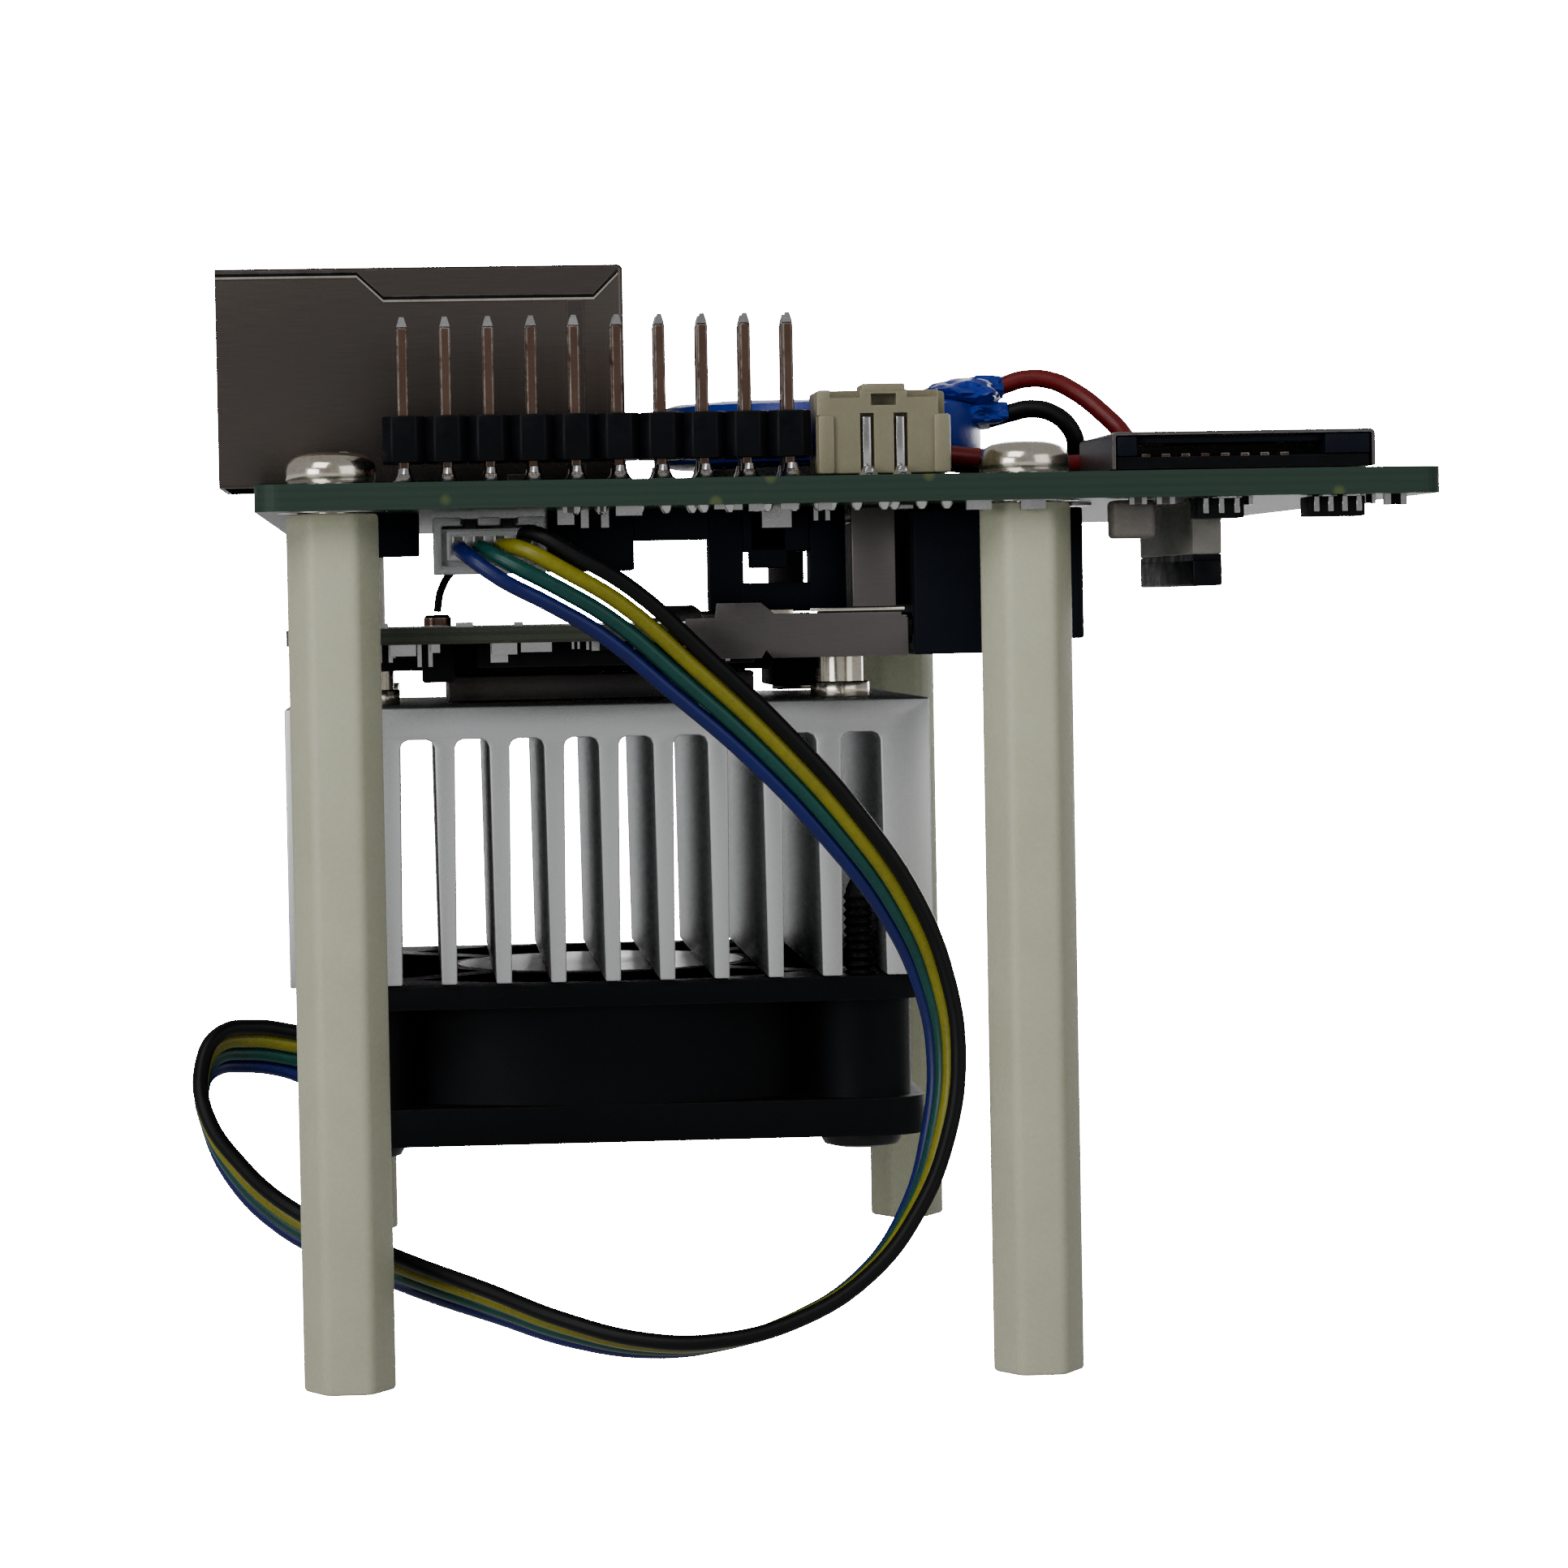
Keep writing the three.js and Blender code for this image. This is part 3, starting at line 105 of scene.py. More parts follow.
def make_floor():
    bm = bmesh.new()
    bmesh.ops.create_grid(bm, x_segments=1, y_segments=1, size=FLOOR_REACH)
    mesh = bpy.data.meshes.new("bench")
    bm.to_mesh(mesh)
    bm.free()
    floor = bpy.data.objects.new("bench", mesh)
    scene.collection.objects.link(floor)
    material = bpy.data.materials.new("bench")
    material.use_nodes = True
    shader = material.node_tree.nodes["Principled BSDF"]
    shader.inputs["Base Color"].default_value = (*PALE, 1)
    shader.inputs["Roughness"].default_value = 0.9
    shader.inputs["Emission Color"].default_value = (1, 1, 1, 1)
    tree = material.node_tree
    path = tree.nodes.new("ShaderNodeLightPath")
    strength = tree.nodes.new("ShaderNodeMath")
    tree.links.new(spread(tree, path.outputs["Is Camera Ray"], 0, 1, 0, FLOOR_SEEN), strength.inputs[0])
    tree.links.new(spread(tree, path.outputs["Is Glossy Ray"], 0, 1, 0, FLOOR_MIRRORED), strength.inputs[1])
    tree.links.new(strength.outputs[0], shader.inputs["Emission Strength"])
    mesh.materials.append(material)
    return floor


make_floor()

# %% Light
SKY_STRENGTH = 0.08
SKY_SEEN = 60.0
SKY_MIRRORED = 0.3
LAMPS = [
    ("key", (-0.45, -0.75, 0.75), 0.6, 5.0),
    ("low", (-0.75, -0.75, 0.06), 0.5, 4.6),
    ("fill", (0.6, -0.7, 0.25), 0.6, 1.6),
    ("back", (0.35, 0.9, 0.1), 0.7, 9.0),
]


def make_lights():
    world = bpy.data.worlds.new("sky")
    scene.world = world
    world.use_nodes = True
    background = world.node_tree.nodes["Background"]
    background.inputs["Color"].default_value = (1, 1, 1, 1)
    tree = world.node_tree
    path = tree.nodes.new("ShaderNodeLightPath")
    seen = spread(tree, path.outputs["Is Camera Ray"], 0, 1, 0, SKY_SEEN)
    mirrored = spread(tree, path.outputs["Is Glossy Ray"], 0, 1, SKY_STRENGTH, SKY_MIRRORED)
    strength = tree.nodes.new("ShaderNodeMath")
    tree.links.new(seen, strength.inputs[0])
    tree.links.new(mirrored, strength.inputs[1])
    tree.links.new(strength.outputs[0], background.inputs["Strength"])
    for name, place, size, watts in LAMPS:
        data = bpy.data.lights.new(name, "AREA")
        data.size = size
        data.energy = watts
        lamp = bpy.data.objects.new(name, data)
        scene.collection.objects.link(lamp)
        aim = Vector((0, 0, 0.035)) - Vector(place)
        lamp.matrix_world = Matrix.Translation(place) @ aim.to_track_quat("-Z", "Y").to_matrix().to_4x4()
    print("lamps:", len(LAMPS))


make_lights()

# %% [markdown]
# ## Shader groups
# Four effects are shared by many finishes, so each is a node group that is built once. Grain is the fine
# texture of a moulded surface, brushing is the drawn lines of rolled or extruded metal, wear is the paler
# line where an edge is rubbed, and dust is what settles on faces that look up.
# %% Group helpers
SCALE_UP = 1 / MM


def new_group(name, inputs, outputs):
    tree = bpy.data.node_groups.new(name, "ShaderNodeTree")
    for label, value in inputs:
        socket = tree.interface.new_socket(label, in_out="INPUT", socket_type="NodeSocketFloat")
        socket.default_value = value
    for label in outputs:
        tree.interface.new_socket(label, in_out="OUTPUT", socket_type="NodeSocketFloat")
    return tree, tree.nodes.new("NodeGroupInput"), tree.nodes.new("NodeGroupOutput")


def maths(tree, operation, first, second):
    node = tree.nodes.new("ShaderNodeMath")
    node.operation = operation
    for socket, value in zip(node.inputs, (first, second)):
        if isinstance(value, (int, float)):
            socket.default_value = value
        else:
            tree.links.new(value, socket)
    return node.outputs[0]


SPECKLE_ROUGHNESS = 0.6


def speckle(tree, place, scale, detail=3.0):
    node = tree.nodes.new("ShaderNodeTexNoise")
    tree.links.new(place, node.inputs["Vector"])
    if isinstance(scale, (int, float)):
        node.inputs["Scale"].default_value = scale
    else:
        tree.links.new(scale, node.inputs["Scale"])
    node.inputs["Detail"].default_value = detail
    node.inputs["Roughness"].default_value = SPECKLE_ROUGHNESS
    return node.outputs["Fac"]


# %% Grain group
def make_grain():
    tree, given, out = new_group("grain", [("Size mm", 0.1)], ["Height", "Shade"])
    place = tree.nodes.new("ShaderNodeTexCoord").outputs["Object"]
    scale = maths(tree, "DIVIDE", SCALE_UP, given.outputs["Size mm"])
    fine = speckle(tree, place, scale)
    broad = speckle(tree, place, maths(tree, "DIVIDE", scale, 24.0), detail=4.0)
    tree.links.new(fine, out.inputs["Height"])
    mixed = maths(tree, "ADD", maths(tree, "MULTIPLY", fine, 0.35), maths(tree, "MULTIPLY", broad, 0.65))
    tree.links.new(spread(tree, mixed, 0.35, 0.65), out.inputs["Shade"])
    return tree


GRAIN = make_grain()


# %% Brushing group
def make_brushing():
    tree, given, out = new_group(
        "brushing", [("Size mm", 0.05), ("Along X", 0), ("Along Y", 0), ("Along Z", 0)],
        ["Height", "Shade"],
    )
    place = tree.nodes.new("ShaderNodeTexCoord").outputs["Object"]
    split = tree.nodes.new("ShaderNodeSeparateXYZ")
    join = tree.nodes.new("ShaderNodeCombineXYZ")
    tree.links.new(place, split.inputs[0])
    for axis in "XYZ":
        squeeze = spread(tree, given.outputs[f"Along {axis}"], 0.0, 1.0, 1.0, 0.02)
        tree.links.new(maths(tree, "MULTIPLY", split.outputs[axis], squeeze), join.inputs[axis])
    scale = maths(tree, "DIVIDE", SCALE_UP, given.outputs["Size mm"])
    lines = speckle(tree, join.outputs[0], scale, detail=2.0)
    tree.links.new(lines, out.inputs["Height"])
    tree.links.new(spread(tree, lines, 0.3, 0.7), out.inputs["Shade"])
    return tree


BRUSHING = make_brushing()


# %% Wear and dust groups
def make_wear():
    tree, given, out = new_group("wear", [("Amount", 1.0)], ["Mask"])
    rounded = tree.nodes.new("ShaderNodeBevel")
    rounded.samples = 4
    rounded.inputs["Radius"].default_value = 0.12 * MM
    match = tree.nodes.new("ShaderNodeVectorMath")
    match.operation = "DOT_PRODUCT"
    tree.links.new(rounded.outputs["Normal"], match.inputs[0])
    tree.links.new(tree.nodes.new("ShaderNodeNewGeometry").outputs["Normal"], match.inputs[1])
    place = tree.nodes.new("ShaderNodeTexCoord").outputs["Object"]
    broken = spread(tree, speckle(tree, place, 900.0), 0.35, 0.55)
    mask = maths(tree, "MULTIPLY", spread(tree, match.outputs["Value"], 0.985, 0.9), broken)
    tree.links.new(maths(tree, "MULTIPLY", mask, given.outputs["Amount"]), out.inputs["Mask"])
    return tree


def make_dust():
    tree, given, out = new_group("dust", [("Amount", 0.3)], ["Mask"])
    normal = tree.nodes.new("ShaderNodeNewGeometry").outputs["Normal"]
    split = tree.nodes.new("ShaderNodeSeparateXYZ")
    tree.links.new(normal, split.inputs[0])
    place = tree.nodes.new("ShaderNodeTexCoord").outputs["Object"]
    spots = spread(tree, speckle(tree, place, 2500.0, detail=6.0), 0.5, 0.75)
    mask = maths(tree, "MULTIPLY", spread(tree, split.outputs["Z"], 0.2, 1.0), spots)
    tree.links.new(maths(tree, "MULTIPLY", mask, given.outputs["Amount"]), out.inputs["Mask"])
    return tree


WEAR = make_wear()
DUST = make_dust()
print("groups:", len(bpy.data.node_groups))

# %% [markdown]
# ## Finishes
# Every finish starts from the same recipe: two close colours mixed by the surface's own texture, the same
# texture in the roughness and the bump, then wear on the edges and dust on top. What differs is the
# numbers, and a maker reads them as a sample card.
# %% Finish recipe
DUST_COLOUR = (0.55, 0.53, 0.5)
BLACK_WORN = (0.03, 0.03, 0.035)


def use_group(tree, group, **values):
    node = tree.nodes.new("ShaderNodeGroup")
    node.node_tree = group
    for label, value in values.items():
        node.inputs[label.replace("_", " ")].default_value = value
    return node


def mix_colour(tree, factor, first, second):
    node = tree.nodes.new("ShaderNodeMix")
    node.data_type = "RGBA"
    tree.links.new(factor, node.inputs["Factor"])
    for label, value in (("A", first), ("B", second)):
        socket = next(s for s in node.inputs if s.name == label and s.type == "RGBA")
        if isinstance(value, tuple):
            socket.default_value = (*value, 1)
        else:
            tree.links.new(value, socket)
    return next(s for s in node.outputs if s.type == "RGBA")


def finish(
    name, dark, light, rough, metal=0.0, size=0.1, depth=0.004, brushed=None, worn=None, wear=0.4,
    dust=0.12, coat=0.0, ior=1.5, through=0.0,
):
    material = bpy.data.materials.new(name)
    material.use_nodes = True
    tree = material.node_tree
    shader = tree.nodes["Principled BSDF"]
    if brushed:
        lines = {f"Along_{axis}": 1.0 if axis in brushed else 0.0 for axis in "XYZ"}
        texture = use_group(tree, BRUSHING, Size_mm=size, **lines)
    else:
        texture = use_group(tree, GRAIN, Size_mm=size)
    shade = texture.outputs["Shade"]
    colour = mix_colour(tree, shade, dark, light)
    if worn:
        colour = mix_colour(tree, use_group(tree, WEAR, Amount=wear).outputs["Mask"], colour, worn)
    if dust:
        colour = mix_colour(tree, use_group(tree, DUST, Amount=dust).outputs["Mask"], colour, DUST_COLOUR)
    tree.links.new(colour, shader.inputs["Base Color"])
    tree.links.new(spread(tree, shade, 0, 1, *rough), shader.inputs["Roughness"])
    bump = tree.nodes.new("ShaderNodeBump")
    bump.inputs["Strength"].default_value = 0.6
    bump.inputs["Distance"].default_value = depth * MM
    tree.links.new(texture.outputs["Height"], bump.inputs["Height"])
    tree.links.new(bump.outputs["Normal"], shader.inputs["Normal"])
    shader.inputs["Metallic"].default_value = metal
    shader.inputs["IOR"].default_value = ior
    shader.inputs["Coat Weight"].default_value = coat
    if through:
        shader.inputs["Subsurface Weight"].default_value = through
        shader.inputs["Subsurface Radius"].default_value = (1.0, 0.9, 0.6)
        shader.inputs["Subsurface Scale"].default_value = 0.0015
    return material


# %% Sample card: metals
TIN = finish(
    "tin", (0.092, 0.079, 0.071), (0.103, 0.089, 0.08), (0.34, 0.38), metal=1, size=0.05, brushed="X",
    worn=(0.45, 0.43, 0.41), depth=0.001, dust=0.03,
)
STAMPED = finish(
    "stamped_steel", (0.116, 0.105, 0.105), (0.132, 0.12, 0.12), (0.38, 0.43), metal=1, size=0.03,
    brushed="X", worn=(0.5, 0.5, 0.5), depth=0.001, dust=0.03,
)
NICKEL = finish(
    "nickel", (0.62, 0.56, 0.45), (0.85, 0.8, 0.7), (0.12, 0.24), metal=1, size=0.2,
    worn=(0.95, 0.92, 0.86),
)
SOLDER = finish("solder", (0.45, 0.45, 0.45), (0.6, 0.6, 0.6), (0.16, 0.22), metal=1, size=0.15, dust=0.03)
GOLD = finish(
    "gold", (0.13, 0.08, 0.06), (0.16, 0.1, 0.075), (0.3, 0.36), metal=1, size=0.1, worn=(0.98, 0.93, 0.84),
    wear=1.0, dust=0.02,
)
EXTRUDED = finish(
    "extruded_aluminium", (0.63, 0.64, 0.65), (0.7, 0.71, 0.72), (0.4, 0.48), metal=1, size=0.06,
    brushed="Y", worn=(0.78, 0.78, 0.79), wear=0.7, depth=0.006, dust=0.04,
)
BLACK_STEEL = finish(
    "black_steel", (0.01, 0.01, 0.011), (0.03, 0.03, 0.033), (0.3, 0.5), metal=0.6, size=0.08,
    worn=BLACK_WORN, dust=0.02, ior=1.3,
)

# %% Sample card: plastics
NYLON = finish(
    "nylon", (0.63, 0.64, 0.46), (0.7, 0.71, 0.53), (0.42, 0.58), size=0.25, depth=0.02,
    worn=(0.78, 0.77, 0.66), through=0.25, dust=0.04,
)
FAN_BLACK = finish(
    "fan_black", (0.0012, 0.0012, 0.002), (0.0018, 0.0018, 0.003), (0.55, 0.62), size=0.08, depth=0.006,
    worn=BLACK_WORN, dust=0.01, ior=1.2,
)
SOCKET_BLACK = finish(
    "socket_black", (0.003, 0.0045, 0.01), (0.004, 0.006, 0.013), (0.5, 0.58), size=0.06,
    worn=BLACK_WORN, dust=0.02, ior=1.2,
)
HEADER_BLACK = finish(
    "header_black", (0.0015, 0.0015, 0.003), (0.003, 0.003, 0.005), (0.3, 0.5), size=0.06,
    worn=BLACK_WORN, dust=0.02, ior=1.2,
)
CREAM = finish(
    "cream_plastic", (0.27, 0.25, 0.16), (0.31, 0.29, 0.185), (0.38, 0.44), size=0.12,
    worn=(0.5, 0.48, 0.36), through=0.15,
)
WHITE_PLASTIC = finish(
    "white_plastic", (0.5, 0.52, 0.52), (0.56, 0.58, 0.58), (0.42, 0.48), size=0.12,
    worn=(0.55, 0.55, 0.55), through=0.1,
)
BEIGE = finish(
    "beige_plastic", (0.3, 0.29, 0.26), (0.36, 0.35, 0.31), (0.42, 0.48), size=0.12, worn=(0.5, 0.5, 0.46),
)
SLEEVE = finish(
    "blue_sleeve", (0.002, 0.02, 0.3), (0.004, 0.035, 0.4), (0.3, 0.36), size=0.4, depth=0.02,
    worn=(0.01, 0.07, 0.45), coat=0.0, dust=0.0, ior=1.35,
)
FOAM = finish("foam_pad", (0.62, 0.61, 0.58), (0.8, 0.79, 0.76), (0.8, 0.95), size=0.12, depth=0.05)
CHIP = finish(
    "chip_body", (0.002, 0.002, 0.003), (0.005, 0.005, 0.006), (0.5, 0.7), size=0.05, depth=0.006,
    worn=BLACK_WORN, dust=0.02, ior=1.2,
)
FERRITE = finish(
    "ferrite", (0.12, 0.11, 0.10), (0.22, 0.2, 0.18), (0.5, 0.7), size=0.1, depth=0.01,
    worn=(0.34, 0.32, 0.3),
)
CERAMIC = finish(
    "ceramic", (0.06, 0.05, 0.04), (0.1, 0.085, 0.07), (0.35, 0.5), size=0.1, worn=(0.5, 0.42, 0.32),
)
STICKER = finish("sticker", (0.42, 0.42, 0.43), (0.6, 0.6, 0.61), (0.3, 0.45), size=0.3)

# %% Sample card: wires
WIRE_BLACK = finish(
    "wire_black", (0.0012, 0.0012, 0.0018), (0.003, 0.003, 0.0035), (0.4, 0.5), size=0.4,
    worn=BLACK_WORN, dust=0.01, ior=1.25,
)
WIRE_RED = finish(
    "wire_red", (0.13, 0.004, 0.006), (0.19, 0.008, 0.009), (0.36, 0.44), size=0.4, ior=1.38, dust=0.03,
)
WIRE_YELLOW = finish(
    "wire_yellow", (0.2, 0.19, 0.006), (0.3, 0.28, 0.015), (0.28, 0.42), size=0.4, ior=1.38, dust=0.03,
)
WIRE_GREEN = finish(
    "wire_green", (0.002, 0.045, 0.04), (0.004, 0.08, 0.065), (0.28, 0.42), size=0.4, ior=1.38, dust=0.03,
)
WIRE_BLUE = finish(
    "wire_blue", (0.002, 0.006, 0.09), (0.004, 0.012, 0.14), (0.28, 0.42), size=0.4, ior=1.38, dust=0.03,
)
print("finishes:", len(bpy.data.materials))


# %% [markdown]
# ### Printed circuit boards
# A circuit board is woven glass under a coat of green lacquer. Copper tracks show through the lacquer as
# slightly paler, raised lines, and the sawn edge shows the bare layers with the ends of a few plated
# holes. The tracks are bands along X and along Y, each let through only in its own patches.
# %% Circuit board finish
def bands(tree, place, direction, scale, cut):
    node = tree.nodes.new("ShaderNodeTexWave")
    node.bands_direction = direction
    node.inputs["Scale"].default_value = scale
    node.inputs["Distortion"].default_value = 0.0
    tree.links.new(place, node.inputs["Vector"])
    return spread(tree, node.outputs["Fac"], cut, cut + 0.06)


def circuit_finish(name, lacquer, track, edge_dark, edge_light):
    material = bpy.data.materials.new(name)
    material.use_nodes = True
    tree = material.node_tree
    shader = tree.nodes["Principled BSDF"]
    place = tree.nodes.new("ShaderNodeTexCoord").outputs["Object"]
    areas = speckle(tree, place, 110.0, detail=1.0)
    along_x = maths(tree, "MULTIPLY", bands(tree, place, "X", 260.0, 0.72), spread(tree, areas, 0.55, 0.57))
    along_y = maths(tree, "MULTIPLY", bands(tree, place, "Y", 260.0, 0.72), spread(tree, areas, 0.47, 0.45))
    tracks = maths(tree, "MAXIMUM", along_x, along_y)
    face = mix_colour(tree, tracks, lacquer, track)
    layers = bands(tree, place, "Z", 620.0, 0.4)
    dots = tree.nodes.new("ShaderNodeTexVoronoi")
    dots.inputs["Scale"].default_value = 330.0
    tree.links.new(place, dots.inputs["Vector"])
    edge = mix_colour(tree, layers, edge_dark, edge_light)
    edge = mix_colour(tree, spread(tree, dots.outputs["Distance"], 0.16, 0.08), edge, (0.07, 0.1, 0.03))
    normal = tree.nodes.new("ShaderNodeNewGeometry").outputs["Normal"]
    split = tree.nodes.new("ShaderNodeSeparateXYZ")
    tree.links.new(normal, split.inputs[0])
    flat = spread(tree, maths(tree, "ABSOLUTE", split.outputs["Z"], 0.0), 0.4, 0.6)
    colour = mix_colour(tree, flat, edge, face)
    colour = mix_colour(tree, use_group(tree, DUST, Amount=0.1).outputs["Mask"], colour, DUST_COLOUR)
    tree.links.new(colour, shader.inputs["Base Color"])
    tree.links.new(spread(tree, flat, 0, 1, 0.6, 0.34), shader.inputs["Roughness"])
    bump = tree.nodes.new("ShaderNodeBump")
    bump.inputs["Strength"].default_value = 0.5
    bump.inputs["Distance"].default_value = 0.03 * MM
    tree.links.new(maths(tree, "MULTIPLY", tracks, flat), bump.inputs["Height"])
    tree.links.new(bump.outputs["Normal"], shader.inputs["Normal"])
    return material


BOARD = circuit_finish(
    "board_lacquer", (0.003, 0.04, 0.02), (0.006, 0.066, 0.033), (0.003, 0.024, 0.012),
    (0.004, 0.03, 0.015),
)
MODULE = circuit_finish(
    "module_lacquer", (0.03, 0.05, 0.026), (0.05, 0.08, 0.04), (0.035, 0.045, 0.028), (0.06, 0.07, 0.045),
)

# %% [markdown]
# ## Tools for the pieces
# Most pieces are a few blocks, bars and turned shapes in one mesh. Each helper adds one shape to a bmesh
# and hands back its vertices, so that it can be bevelled or painted. The last helper closes a piece:
# it turns the faces outwards, gives the piece its finish and tells the frame what it rides on.
# %% Shapes
def add_block(bm, low, high, soft=0.0, steps=2):
    low, high = Vector(low), Vector(high)
    old = set(bm.verts)
    place = Matrix.Translation((low + high) / 2) @ Matrix.Diagonal((*(high - low), 1))
    verts = bmesh.ops.create_cube(bm, size=1, matrix=place)["verts"]
    if soft:
        edges = list({e for v in verts for e in v.link_edges})
        bmesh.ops.bevel(bm, geom=edges, offset=soft, segments=steps, profile=0.5, affect="EDGES", material=-1)
    return [v for v in bm.verts if v not in old]


def add_bar(bm, start, end, radius, sides=20):
    start, end = Vector(start), Vector(end)
    turn = Vector((0, 0, 1)).rotation_difference(end - start).to_matrix().to_4x4()
    place = Matrix.Translation((start + end) / 2) @ turn
    made = bmesh.ops.create_cone(
        bm, cap_ends=True, segments=sides, radius1=radius, radius2=radius, depth=(end - start).length,
        matrix=place,
    )
    return made["verts"]


def add_turned(bm, profile, at, steps=32, direction=(0, 0, 1)):
    old = set(bm.verts)
    line = [bm.verts.new((radius, 0, height)) for radius, height in profile]
    edges = [bm.edges.new(pair) for pair in zip(line, line[1:])]
    bmesh.ops.spin(
        bm, geom=line + edges, cent=(0, 0, 0), axis=(0, 0, 1), angle=math.tau, steps=steps, use_merge=True
    )
    made = [v for v in bm.verts if v not in old]
    bmesh.ops.remove_doubles(bm, verts=made, dist=1e-7)
    made = [v for v in bm.verts if v not in old]
    turn = Vector((0, 0, 1)).rotation_difference(Vector(direction)).to_matrix().to_4x4()
    bmesh.ops.transform(bm, matrix=Matrix.Translation(at) @ turn, verts=made)
    return made


def add_sheet(bm, outline, thickness):
    """A flat sheet with this outline, pushed through its thickness vector."""
    old = set(bm.verts)
    face = bm.faces.new([bm.verts.new(point) for point in outline])
    pushed = bmesh.ops.extrude_face_region(bm, geom=[face])["geom"]
    bmesh.ops.translate(
        bm, vec=Vector(thickness), verts=[g for g in pushed if isinstance(g, bmesh.types.BMVert)],
    )
    return [v for v in bm.verts if v not in old]


def paint(verts, index):
    for face in {f for v in verts for f in v.link_faces}:
        face.material_index = index


def soften(bm, width, steps=2, angle=30):
    sharp = [e for e in bm.edges if e.is_manifold and e.calc_face_angle(0) > math.radians(angle)]
    bmesh.ops.bevel(
        bm, geom=sharp, offset=width, segments=steps, profile=0.5, affect="EDGES", material=-1,
        clamp_overlap=True,
    )


# %% Closing a piece
SMOOTH_ANGLE = math.radians(38)


def close_piece(bm, name, finishes, replaces=(), body="computer", outwards=True):
    if outwards:
        bmesh.ops.recalc_face_normals(bm, faces=bm.faces)
    mesh = bpy.data.meshes.new(name)
    bm.to_mesh(mesh)
    bm.free()
    mesh.shade_smooth()
    mesh.set_sharp_from_angle(angle=SMOOTH_ANGLE)
    for material in finishes if isinstance(finishes, (list, tuple)) else [finishes]:
        mesh.materials.append(material)
    piece = bpy.data.objects.new(name, mesh)
    scene.collection.objects.link(piece)
    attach(piece, body)
    if replaces:
        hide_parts(*replaces)
    return piece


def carve(piece, cutter, operation="DIFFERENCE"):
    """Cuts the shape in the bmesh out of a closed piece."""
    bmesh.ops.recalc_face_normals(cutter, faces=cutter.faces)
    mesh = bpy.data.meshes.new("cutter")
    cutter.to_mesh(mesh)
    cutter.free()
    tool = bpy.data.objects.new("cutter", mesh)
    scene.collection.objects.link(tool)
    change = piece.modifiers.new("carve", "BOOLEAN")
    change.operation = operation
    change.object = tool
    change.solver = "EXACT"
    change.use_self = True
    ready = piece.evaluated_get(bpy.context.evaluated_depsgraph_get())
    result = bpy.data.meshes.new_from_object(ready)
    piece.modifiers.clear()
    piece.data = result
    result.shade_smooth()
    result.set_sharp_from_angle(angle=SMOOTH_ANGLE)
    bpy.data.objects.remove(tool)
    return piece


# %% [markdown]
# Many solids have the right shape and only lack the small radius that every real edge has. For those, a
# copy of the solid's mesh is merged, its flat faces are joined again, and its sharp edges are bevelled.
# %% Rounded copy of a solid
def rounded_copy(node, finish_of_it, width, steps=2, body="computer", angle=30):
    bm = bmesh.new()
    bm.from_mesh(bpy.data.objects[node].data)
    bmesh.ops.remove_doubles(bm, verts=bm.verts, dist=1e-6)
    bmesh.ops.dissolve_limit(bm, angle_limit=math.radians(1), verts=bm.verts, edges=bm.edges)
    soften(bm, width * MM, steps, angle)
    return close_piece(bm, f"{node}_piece", finish_of_it, [node], body, outwards=False)


def repaint(node, finish_of_it):
    solid = bpy.data.objects[node]
    solid.data.materials.clear()
    solid.data.materials.append(finish_of_it)


def centre(node):
    low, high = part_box(node)
    return (Vector(low) + Vector(high)) / 2


LOW = {name: Vector(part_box(name)[0]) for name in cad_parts}
HIGH = {name: Vector(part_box(name)[1]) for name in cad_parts}
BOARD_TOP = HIGH["carrier_board"].z
BOARD_UNDER = LOW["carrier_board"].z
print("board from", round(BOARD_UNDER / MM, 2), "to", round(BOARD_TOP / MM, 2), "mm")

# %% [markdown]
# ## The fan's lead
# Four insulated wires lie side by side and leave the white connector at the front. They run down to the
# right in one flat ribbon, turn over at the bottom of the loop, pass behind the left leg, turn over again
# outside it and come back to the fan. The points are the middle of the ribbon, in the same places as the
# solid lead's, and the last two carry it on to the corner post. The arrows say which way the black wire
# lies from the blue one, so the ribbon can twist.
# %% Lead route
LEAD_ROUTE_MM = [
    (-20.2, -39.7, 50.3), (-20, -41.6, 50.2), (-18.8, -43, 49.7), (-16, -43.4, 48.2),
    (-12.9, -43.2, 46.3), (-8.6, -42.8, 42.5), (-3.8, -42, 38), (0.5, -41.3, 33.2),
    (4, -40.7, 28.2), (5.9, -40.4, 23.7), (6.6, -40.4, 19.3), (6, -40.8, 14.5),
    (4.2, -41.6, 9.9), (1.3, -42.4, 6.3), (-3, -43, 3.8), (-7.8, -43.2, 2.6),
    (-11.8, -42.8, 2.5), (-16.4, -41.2, 3.3), (-21, -38.4, 4.7), (-26, -35.2, 6.2),
    (-29.6, -33.2, 7.6), (-33.4, -31.6, 9.4), (-36.4, -30.6, 12.2), (-38.2, -29.6, 15.4),
    (-38.5, -28.4, 18), (-37.6, -27.4, 19.4), (-35.6, -26.4, 19.6), (-33.2, -25.8, 19.2),
    (-31.2, -25.3, 18.6), (-30.1, -24, 18.2), (-29.4, -22.3, 18),
]
